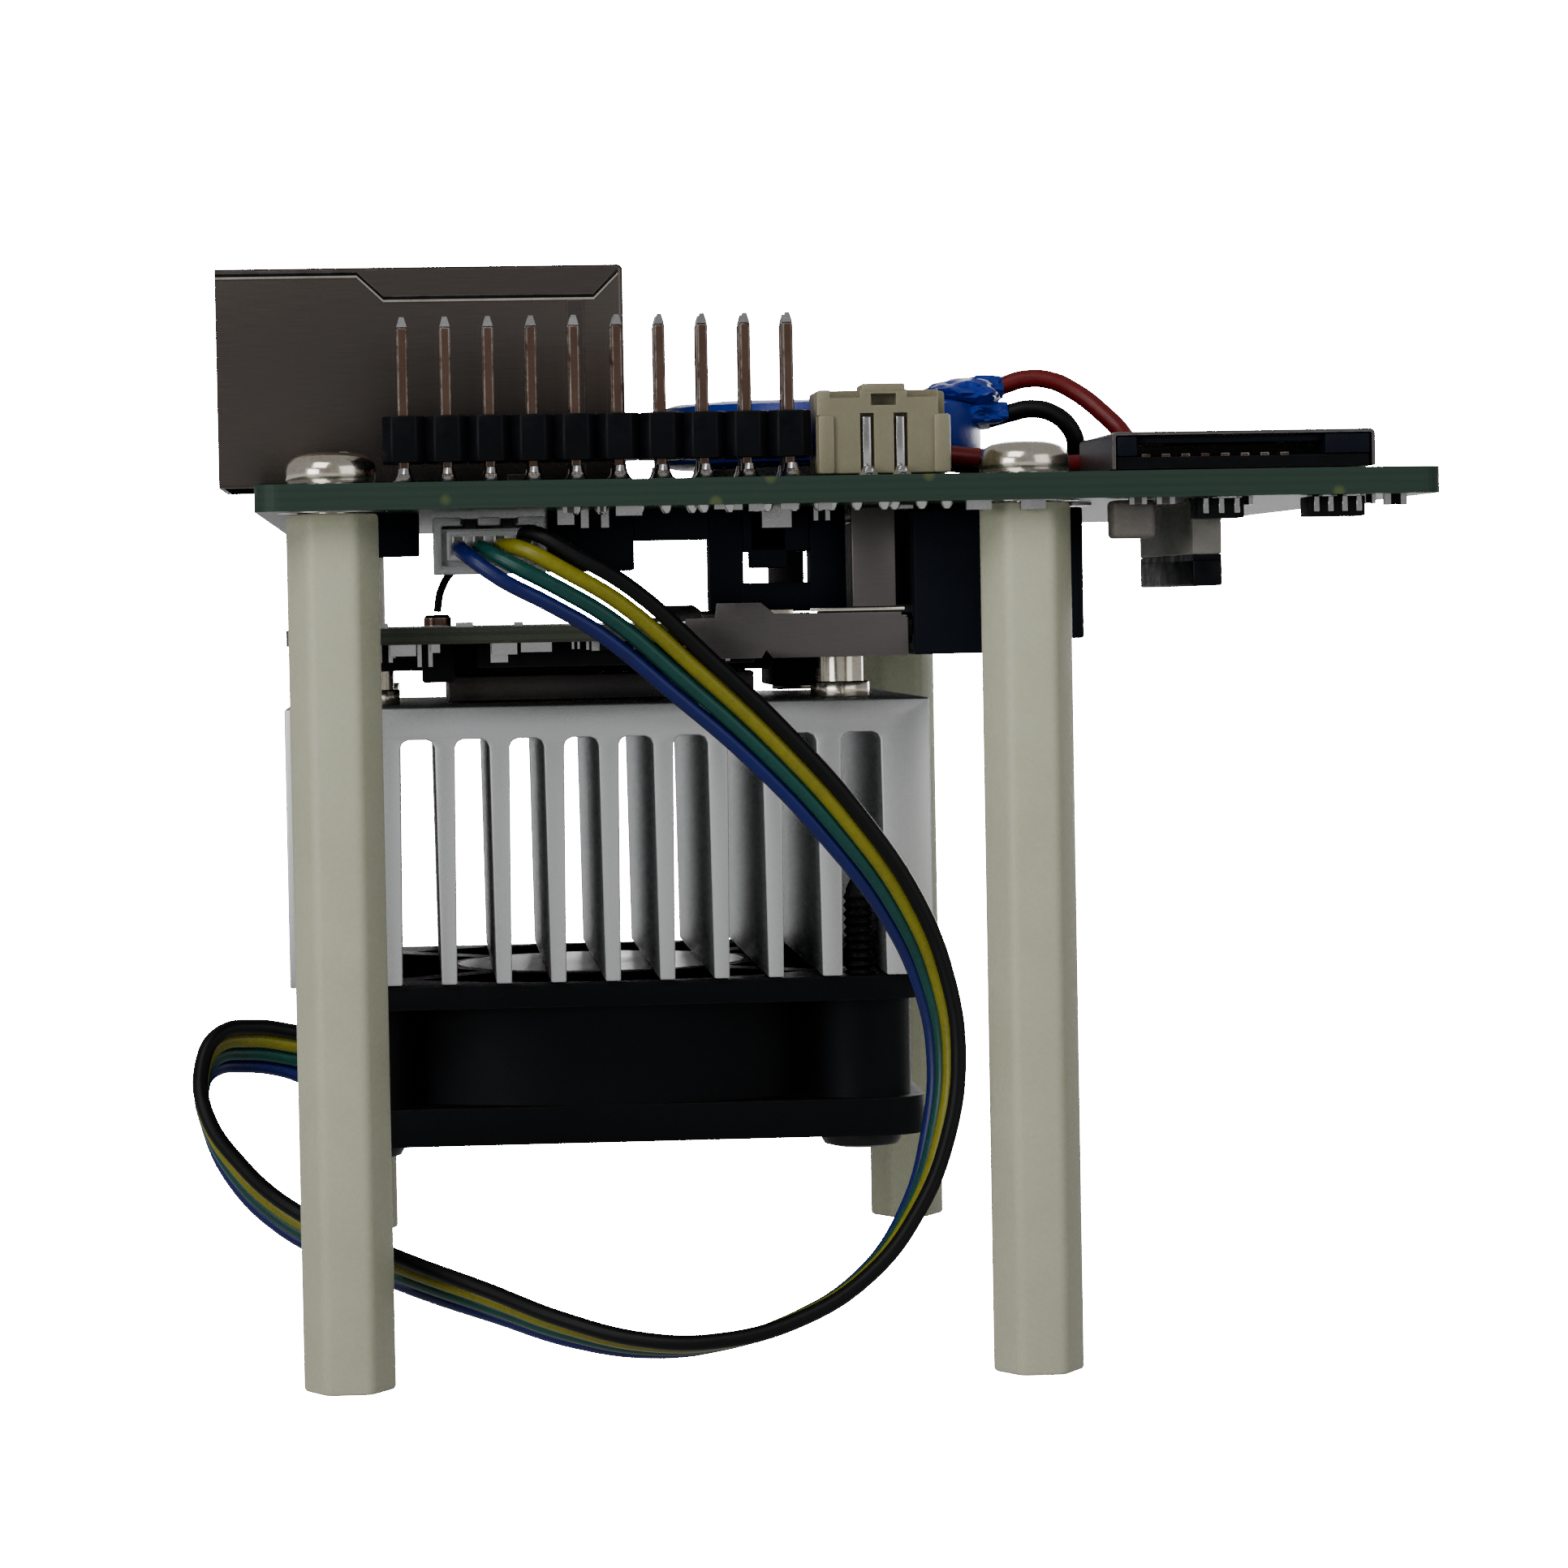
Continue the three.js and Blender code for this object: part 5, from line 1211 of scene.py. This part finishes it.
# %% [markdown]
# ## Clock battery
# The battery is a coin cell in a blue shrink sleeve, on a foam pad. The film creases where it was pinched
# shut, so its loose end is a few overlapping lumps, creased by noise, and the small ones hold the wires.
# %% Coin cell
def make_cell():
    low, high = LOW["coin_cell"], HIGH["coin_cell"]
    radius = (high.y - low.y) / 2
    base = low.z
    middle = Vector((low.x + radius, low.y + radius, 0))
    profile = [
        (0, 0), (
            radius - 1.1 * MM, 0,
        ), (radius - 0.35 * MM, 0.2 * MM), (radius, 0.8 * MM), (radius, 3.1 * MM),
        (radius - 0.3 * MM, 3.75 * MM), (radius - 1.2 * MM, 4.0 * MM), (0, 3.9 * MM),
    ]
    bm = bmesh.new()
    add_turned(bm, profile, (middle.x, middle.y, base), 96)
    for vert in bm.verts:
        if (vert.co.xy - middle.xy).length > radius * 0.85:
            vert.co.z += 0.07 * MM * noise.noise(vert.co * 700) if vert.co.z > base + MM else 0
    return close_piece(bm, "coin_cell_sleeve", SLEEVE, ["coin_cell"])


def make_flap():
    """The pinched end of the sleeve: lumps of film, creased by noise and kept inside the solid."""
    high = HIGH["coin_cell"]
    bm = bmesh.new()
    for x, y, z, long, wide, tall, seed in (
        (10.3, -22.6, 59.6, 2.6, 4.2, 1.1, 0), (11.0, -21.2, 60.1, 1.9, 2.4, 0.75, 3),
        (10.2, -24.2, 58.2, 2.6, 2.8, 0.9, 6), (11.9, -24.9, 58.4, 1.6, 1.0, 0.8, 9),
        (11.9, -22.5, 60.1, 1.6, 1.0, 0.8, 12),
    ):
        lump = bmesh.ops.create_icosphere(bm, subdivisions=4, radius=1)["verts"]
        for vert in lump:
            crease = 1 + 0.22 * noise.noise(
                vert.co * 1.6 + Vector((seed, 0, 0)),
            ) - 0.16 * abs(noise.noise(vert.co * 4 + Vector((0, seed, 0))))
            spot = Vector(
                (x + vert.co.x * long * crease, y + vert.co.y * wide * crease, z + vert.co.z * tall * crease),
            ) * MM
            vert.co = Vector((min(spot.x, high.x), spot.y, min(spot.z, high.z)))
    return close_piece(bm, "coin_cell_flap", SLEEVE)


make_cell()
make_flap()
repaint("cell_pad", FOAM)
print("clock battery")

# %% [markdown]
# ## Card slot
# A folded metal cover over a plastic base. The cover is open at the front, and slots are pressed in its top.
# %% Card slot
def make_card_slot():
    low, high = LOW["card_slot_shell"], HIGH["card_slot_shell"]
    bm = bmesh.new()
    add_block(bm, low, high)
    open_faces = [f for f in bm.faces if f.normal.y < -0.9 or f.normal.z < -0.9]
    bmesh.ops.delete(bm, geom=open_faces, context="FACES_ONLY")
    edges = [e for e in bm.edges if not e.is_boundary]
    bmesh.ops.bevel(bm, geom=edges, offset=0.3 * MM, segments=3, profile=0.5, affect="EDGES", material=-1)
    bmesh.ops.recalc_face_normals(bm, faces=bm.faces)
    bmesh.ops.solidify(bm, geom=bm.faces[:], thickness=0.2 * MM)
    cover = close_piece(bm, "card_slot_cover", STAMPED, ["card_slot_shell"])
    tools = bmesh.new()
    for x0, x1, y0, y1 in ((3, 4, 3, 11), (7, 8, 2.5, 7), (11.5, 13.5, 5, 9)):
        add_block(
            tools, (low.x + x0 * MM, low.y + y0 * MM, high.z - MM),
            (low.x + x1 * MM, low.y + y1 * MM, high.z + MM),
        )
    carve(cover, tools)
    repaint("card_slot_base", HEADER_BLACK)
    inner = bmesh.new()
    for i in range(8):
        x = low.x + (2.2 + 1.2 * i) * MM
        add_block(
            inner, (x, low.y + 3 * MM, low.z + 0.75 * MM),
            (x + 0.5 * MM, low.y + 8 * MM, low.z + 0.95 * MM),
        )
    close_piece(inner, "card_slot_contacts", GOLD)
    cheeks = bmesh.new()
    for x, wide in ((low.x + 0.3 * MM, 1.2), (high.x - 3.0 * MM, 2.7)):
        add_block(
            cheeks, (x, low.y + 0.1 * MM, low.z + 0.75 * MM),
            (x + wide * MM, low.y + 6 * MM, high.z - 0.25 * MM), 0.1 * MM,
        )
    add_block(
        cheeks, (low.x + 1.4 * MM, low.y + 0.7 * MM, low.z + 1.5 * MM),
        (high.x - 2.8 * MM, low.y + 5 * MM, high.z - 0.25 * MM), 0.1 * MM,
    )
    return close_piece(cheeks, "card_slot_slide", SOCKET_BLACK)


make_card_slot()

# %% [markdown]
# ## Module socket, latches and brackets
# The edge connector that holds the module is one long black housing. Its sprung contacts show as two rows
# of fine legs soldered under the board. A bent steel arm at each end keeps the module down.
# %% Module socket
def make_socket():
    rounded_copy("module_socket", SOCKET_BLACK, 0.18)
    low, high = LOW["module_socket"], HIGH["module_socket"]
    legs = bmesh.new()
    y = low.y + 2.6 * MM
    while y < high.y - 2.6 * MM:
        for x, out in ((low.x, -1), (high.x, 1)):
            span = sorted((x - out * 0.3 * MM, x + out * 0.9 * MM))
            add_block(
                legs, (span[0], y - 0.1 * MM, BOARD_UNDER - 0.22 * MM),
                (span[1], y + 0.1 * MM, BOARD_UNDER - 0.02 * MM),
            )
        y += 0.5 * MM
    close_piece(legs, "module_socket_legs", SOLDER)


make_socket()
for side in ("front", "back"):
    rounded_copy(f"latch_{side}", STAMPED, 0.08, body=f"latch_{side}")
    rounded_copy(f"latch_bracket_{side}", STAMPED, 0.08)


def make_latch_trim(side, out):
    """The rolled upper edge of a latch arm and the small tab pressed out of it."""
    low, high = LOW[f"latch_{side}"], HIGH[f"latch_{side}"]
    face = low.y if out < 0 else high.y
    bm = bmesh.new()
    rim = sorted((face, face - out * 0.3 * MM))
    add_block(
        bm, (low.x + 7.6 * MM, rim[0], high.z - 0.62 * MM), (high.x - 0.2 * MM, rim[1], high.z - 0.42 * MM),
        0.05 * MM,
    )
    tab = sorted((face - out * 0.02 * MM, face - out * 0.3 * MM))
    add_block(
        bm, (low.x + 4.9 * MM, tab[0], low.z + 1.1 * MM), (low.x + 6.6 * MM, tab[1], high.z - 0.45 * MM),
        0.08 * MM,
    )
    return close_piece(bm, f"latch_trim_{side}", NICKEL, body=f"latch_{side}")


make_latch_trim("front", -1)
make_latch_trim("back", 1)
print("socket and latches")

# %% [markdown]
# ## Compute module
# The module keeps its solid. Its processor, memory and plate are hidden in the real machine too, and get
# the finish of the real parts. Rows of very small capacitors line its front edge.
# %% Small parts
DICE = random.Random(11)


def add_small_part(bm, at, size, ends, along="X"):
    """A ceramic block with two metal ends, whose base is centred on the point."""
    half = Vector(size) / 2
    at = Vector(at)
    add_block(bm, at - half, at + half)
    reach = Vector((half.x, 0, 0)) if along == "X" else Vector((0, half.y, 0))
    for side in (-1, 1):
        tip = at + side * reach * 0.78
        grow = Vector(
            (half.x * 0.3, half.y * 1.06, half.z * 1.06),
        ) if along == "X" else Vector((half.x * 1.06, half.y * 0.3, half.z * 1.06))
        paint(add_block(bm, tip - grow, tip + grow), ends)


def make_row(name, body, y, x_low, x_high, surface, down, step, sizes, gap=0.25):
    """A row of small parts along X; down is -1 under a surface and 1 on top of it."""
    bm = bmesh.new()
    x = x_low
    while x < x_high:
        wide, deep, tall = (n * DICE.uniform(0.85, 1.15) * MM for n in DICE.choice(sizes))
        at = (x * MM, y * MM + DICE.uniform(-0.15, 0.15) * MM, surface + down * tall / 2)
        if DICE.random() > gap:
            add_small_part(bm, at, (wide, deep, tall), 1, DICE.choice("XY"))
        x += wide / MM + step * DICE.uniform(0.6, 1.5)
    return close_piece(bm, name, [body, SOLDER])


repaint("module_board", MODULE)
for name in ("processor", "memory_chip_left", "memory_chip_right"):
    rounded_copy(name, CHIP, 0.06)
rounded_copy("heat_spreader", STAMPED, 0.1)
MODULE_UNDER, MODULE_TOP = LOW["module_board"].z, HIGH["module_board"].z
make_row(
    "module_parts_front", CHIP, -34.2, -31.5, -1.5, MODULE_UNDER, -1, 0.5,
    [(0.5, 0.35, 0.5), (0.9, 0.5, 0.45), (1.7, 0.8, 0.6)],
)
make_row(
    "module_parts_second", CHIP, -31.6, -30.5, 4, MODULE_UNDER, -1, 1.2, [(0.6, 0.6, 1.1), (0.9, 0.9, 1.2)],
)
make_row(
    "module_parts_third", CERAMIC, -28.8, -30.5, 8, MODULE_UNDER, -1, 0.6,
    [(1.0, 0.5, 0.5), (1.6, 0.8, 0.8)],
)
make_row(
    "module_parts_top", CHIP, -33.6, -29, 5, MODULE_TOP, 1, 1.6, [(0.5, 0.4, 0.25), (1.0, 0.5, 0.3)], 0.4,
)
make_row(
    "module_parts_back", CERAMIC, 33.2, -30, 0, MODULE_UNDER, -1, 0.8, [(0.6, 0.4, 0.4), (1.2, 0.7, 0.6)],
)


# %% Aerial socket, heatsink screws
def make_aerial_socket():
    low, high = LOW["aerial_socket"], HIGH["aerial_socket"]
    middle = centre("aerial_socket")
    radius = (high.x - low.x) / 2
    tall = high.z - low.z
    profile = [
        (0, 0), (radius, 0), (radius, tall * 0.7), (radius * 0.8, tall), (radius * 0.6, tall),
        (radius * 0.6, tall * 0.5), (0, tall * 0.5),
    ]
    bm = bmesh.new()
    add_turned(bm, profile, (middle.x, middle.y, low.z), 24)
    return close_piece(bm, "aerial_socket_piece", GOLD, ["aerial_socket"])


def make_heatsink_screw(corner):
    """A shouldered screw, with a turned sleeve round its shank."""
    node = f"spring_screw_{corner}"
    middle = centre(node)
    rounded_copy(node, NICKEL, 0.1)
    bm = bmesh.new()
    bottom, top = LOW[node].z + 0.1 * MM, MODULE_UNDER - 0.05 * MM
    profile = [
        (1.05 * MM, bottom), (1.5 * MM, bottom), (1.5 * MM, top), (1.05 * MM, top), (1.05 * MM, bottom),
    ]
    add_turned(bm, profile, (middle.x, middle.y, 0), 32)
    return close_piece(bm, f"heatsink_sleeve_{corner}", NICKEL)


make_aerial_socket()
for corner in CORNERS:
    make_heatsink_screw(corner)


def make_module_coils():
    """Tall black coils and a connector that fill the gap between the module and the heatsink."""
    bm = bmesh.new()
    top = MODULE_UNDER
    for x0, x1, y0, y1, tall in (
        (-31.6, -25.2, -3, 4, 1.9), (-31.8, -30.2, -33.6, -30, 2.4), (-1.2, 3.2, -10, 2, 3.3),
        (-21, -4, -32, -26, 1.5), (-30, -22.6, -25, -18, 1.7), (-24.4, -22.4, -30, -26, 2.4),
    ):
        add_block(bm, (x0 * MM, y0 * MM, top - tall * MM), (x1 * MM, y1 * MM, top), 0.15 * MM)
    return close_piece(bm, "module_coils", CHIP)


make_module_coils()
print("module")

# %% [markdown]
# ## Heatsink and fan
# The heatsink is a length of extruded aluminium with closed slots. The fan hangs under it on four long
# black screws whose threads bite into the fins. Its hub wears a round paper label on the bearing plate.
# %% Heatsink and fan
rounded_copy("heatsink", EXTRUDED, 0.12)
rounded_copy("fan_frame", FAN_BLACK, 0.3, 3, angle=40)
rounded_copy("fan_rotor", FAN_BLACK, 0.12, body="fan_rotor", angle=40)


def make_fan_screw(corner):
    node = f"fan_screw_{corner}"
    low, high = LOW[node], HIGH[node]
    middle = centre(node)
    head, shank = (high.x - low.x) / 2, 0.95 * MM
    profile = [
        (0, low.z), (head * 0.6, low.z), (head * 0.92, low.z + 0.2 * MM), (head, low.z + 0.55 * MM),
        (head, low.z + 0.9 * MM), (shank, low.z + 0.9 * MM),
    ]
    profile += thread_profile(shank, 0.55 * MM, low.z + 0.95 * MM, high.z - MM, 0.2 * MM)[1:-1]
    profile += [(0.25 * MM, high.z), (0, high.z)]
    bm = bmesh.new()
    add_turned(bm, profile, (middle.x, middle.y, 0), 24)
    screw = close_piece(bm, f"{node}_piece", BLACK_STEEL, [node])
    cross = bmesh.new()
    for turn in (0.3, 0.3 + math.pi / 2):
        arm = add_block(cross, (-1.3 * MM, -0.28 * MM, low.z - MM), (1.3 * MM, 0.28 * MM, low.z + 0.6 * MM))
        bmesh.ops.rotate(cross, verts=arm, matrix=Matrix.Rotation(turn, 3, "Z"))
    bmesh.ops.translate(cross, verts=cross.verts, vec=(middle.x, middle.y, 0))
    return carve(screw, cross)


for corner in CORNERS:
    make_fan_screw(corner)


def make_label():
    middle = centre("fan_frame")
    bm = bmesh.new()
    base = HIGH["fan_frame"].z
    add_turned(
        bm, [(0, 0), (9.6 * MM, 0), (9.6 * MM, 0.05 * MM), (0, 0.05 * MM)], (middle.x, middle.y, base), 64,
    )
    return close_piece(bm, "fan_label", STICKER)


make_label()
print("fan")

# %% [markdown]
# ## Connectors under the board
# The fan's plug goes into a white socket whose contacts show at four holes. The camera connector is a long
# pale body with a dark lock that slides down to let the ribbon go.
# %% Fan connector
def make_fan_connector():
    low, high = LOW["fan_plug"], HIGH["fan_plug"]
    socket = rounded_copy("fan_socket", WHITE_PLASTIC, 0.12)
    s_low, s_high = LOW["fan_socket"], HIGH["fan_socket"]
    tools = bmesh.new()
    for x in (s_low.x + 2.05 * MM, s_high.x - 2.05 * MM):
        add_block(
            tools, (x - 0.42 * MM, s_low.y - MM, s_high.z - 0.42 * MM),
            (x + 0.42 * MM, s_low.y + 2 * MM, s_high.z + MM),
        )
    carve(socket, tools)
    plug = rounded_copy("fan_plug", WHITE_PLASTIC, 0.1)
    fill = bmesh.new()
    add_block(fill, s_low + Vector((0.4, 0.5, 0.4)) * MM, s_high - Vector((0.4, 0.6, 0.7)) * MM)
    close_piece(fill, "fan_socket_floor", WHITE_PLASTIC)
    holes, crimps = bmesh.new(), bmesh.new()
    middle = centre("fan_plug")
    for i in range(4):
        x = middle.x + (i - 1.5) * 1.25 * MM
        add_block(
            holes, (x - 0.4 * MM, low.y - MM, low.z + 0.55 * MM),
            (x + 0.4 * MM, low.y + 2.2 * MM, high.z - 0.35 * MM),
        )
        add_block(
            crimps, (x - 0.38 * MM, low.y + 0.3 * MM, high.z - 0.8 * MM),
            (x - 0.26 * MM, low.y + 2 * MM, high.z - 0.3 * MM),
        )
        add_block(
            crimps, (x + 0.26 * MM, low.y + 0.3 * MM, high.z - 0.8 * MM),
            (x + 0.38 * MM, low.y + 2 * MM, high.z - 0.3 * MM),
        )
    carve(plug, holes)
    close_piece(crimps, "fan_plug_crimps", NICKEL)


make_fan_connector()


# %% Camera connector
def make_camera_connector():
    rounded_copy("camera_socket", BEIGE, 0.12)
    rounded_copy("camera_lock", HEADER_BLACK, 0.12, body="camera_lock")
    blade = bmesh.new()
    lock_low, lock_high = LOW["camera_lock"], HIGH["camera_lock"]
    add_block(blade, lock_low + Vector((0.02, 0.05, 1.4)) * MM, lock_high + Vector((-0.02, -0.05, 0.3)) * MM)
    close_piece(blade, "camera_lock_blade", HEADER_BLACK, body="camera_lock")
    low, high = LOW["camera_socket"], HIGH["camera_socket"]
    legs = bmesh.new()
    y = low.y + 3 * MM
    while y < high.y - 3 * MM:
        add_block(
            legs, (low.x - 0.5 * MM, y - 0.16 * MM, BOARD_UNDER - 0.25 * MM),
            (low.x + 0.2 * MM, y + 0.16 * MM, BOARD_UNDER - 0.02 * MM),
        )
        y += MM
    close_piece(legs, "camera_socket_legs", SOLDER)


def make_driver(node):
    rounded_copy(node, CHIP, 0.08)
    low, high = LOW[node], HIGH[node]
    legs = bmesh.new()
    count = 3 if high.x - low.x < 3 * MM else 4
    for i in range(count):
        x = low.x + (high.x - low.x) * (i + 0.5) / count
        for y, out in ((low.y, -1), (high.y, 1)):
            reach = sorted((y - out * 0.1 * MM, y + out * 0.3 * MM))
            add_block(
                legs, (x - 0.17 * MM, reach[0], low.z + 0.3 * MM), (x + 0.17 * MM, reach[1], high.z),
                0.03 * MM, 1,
            )
    close_piece(legs, f"{node}_legs", SOLDER)


make_camera_connector()
make_driver("driver_chip_left")
make_driver("driver_chip_right")
rounded_copy("power_coil", FERRITE, 0.3, 3)


# %% Chips on top
def make_chip(node, pins):
    rounded_copy(node, CHIP, 0.08)
    low, high = LOW[node], HIGH[node]
    legs = bmesh.new()
    for i in range(pins):
        share = (i + 1) / (pins + 1)
        x, y = low.x + (high.x - low.x) * share, low.y + (high.y - low.y) * share
        for side in (low.x - 0.45 * MM, high.x - 0.05 * MM):
            add_block(legs, (side, y - 0.11 * MM, low.z), (side + 0.5 * MM, y + 0.11 * MM, low.z + 0.2 * MM))
        for side in (low.y - 0.45 * MM, high.y - 0.05 * MM):
            add_block(legs, (x - 0.11 * MM, side, low.z), (x + 0.11 * MM, side + 0.5 * MM, low.z + 0.2 * MM))
    close_piece(legs, f"{node}_legs", SOLDER)


make_chip("hub_chip", 16)
make_chip("network_chip", 12)
make_chip("power_chip", 8)
print("connectors and chips")

# %% [markdown]
# ## Small parts of the carrier board
# Capacitors, resistors and coils crowd both faces. The tall black ones under the board stand a little
# behind its front edge and are what fills the dark gap above the module.
# %% Board parts
make_row(
    "under_parts_front", CERAMIC, -43.6, -15.5, 21, BOARD_UNDER, -1, 0.8,
    [(0.5, 0.4, 0.3), (0.9, 0.4, 0.35), (1.4, 0.6, 0.5)], 0.4,
)
make_row(
    "under_parts_second", CHIP, -34.4, -15.5, 4, BOARD_UNDER, -1, 0.8, [(1.0, 0.6, 0.9), (1.8, 1.0, 1.2)],
    0.3,
)
make_row("under_parts_right", CHIP, -42.6, 24.9, 35, BOARD_UNDER, -1, 0.9, [(0.8, 0.5, 0.5), (1.2, 0.6, 0.6)])
make_row("top_parts_right", CERAMIC, -25.5, 17.5, 35, BOARD_TOP, 1, 0.9, [(1.0, 0.6, 0.6), (1.8, 1.0, 1.0)])
make_row("top_parts_middle", CERAMIC, 14.5, -16, 33, BOARD_TOP, 1, 1.4, [(1.0, 0.6, 0.6), (2.0, 1.2, 1.0)])
make_row("top_parts_back", CERAMIC, 38.0, -20, 5, BOARD_TOP, 1, 1.4, [(1.0, 0.6, 0.6), (2.0, 1.2, 1.0)])
TALL_PARTS_MM = [
    (-31.8, -24.4, -33, -29, 49.9), (-16.6, -11.3, -33, -28.8, 48.8), (-6.7, -4.6, -33, -30, 46.2),
    (-4.6, -0.5, -33, -30, 49.8), (-4.2, -1.9, -33, -31, 48.8), (-0.5, 1.7, -33, -30, 46.2),
    (-4.7, -0.4, -33, -30.5, 46.2), (-11.3, -6.7, -33, -31, 50.6), (3.9, 5.4, -32, -29, 46.4),
]


def make_tall_parts():
    bm = bmesh.new()
    for x0, x1, y0, y1, z in TALL_PARTS_MM:
        top = 47.9 if (x0, z) == (-4.7, 46.2) else BOARD_UNDER / MM
        add_block(bm, (x0 * MM, y0 * MM, z * MM), (x1 * MM, y1 * MM, top * MM), 0.12 * MM)
    return close_piece(bm, "under_parts_tall", SOCKET_BLACK)


make_tall_parts()


def make_under_joints():
    """Where the legs of the parts on top come through, the solder stands as small domes."""
    bm = bmesh.new()
    for x, y in [(-15.2 + 1.27 * i + 0.3 * (i % 3), -42.9 + 0.6 * (i % 2)) for i in range(18)]:
        profile = [(0, 0), (0.42 * MM, 0), (0.36 * MM, 0.22 * MM), (0.2 * MM, 0.42 * MM), (0, 0.46 * MM)]
        add_turned(bm, profile, (x * MM, y * MM, BOARD_UNDER), 10, (0, 0, -1))
    return close_piece(bm, "under_joints", SOLDER)


make_under_joints()
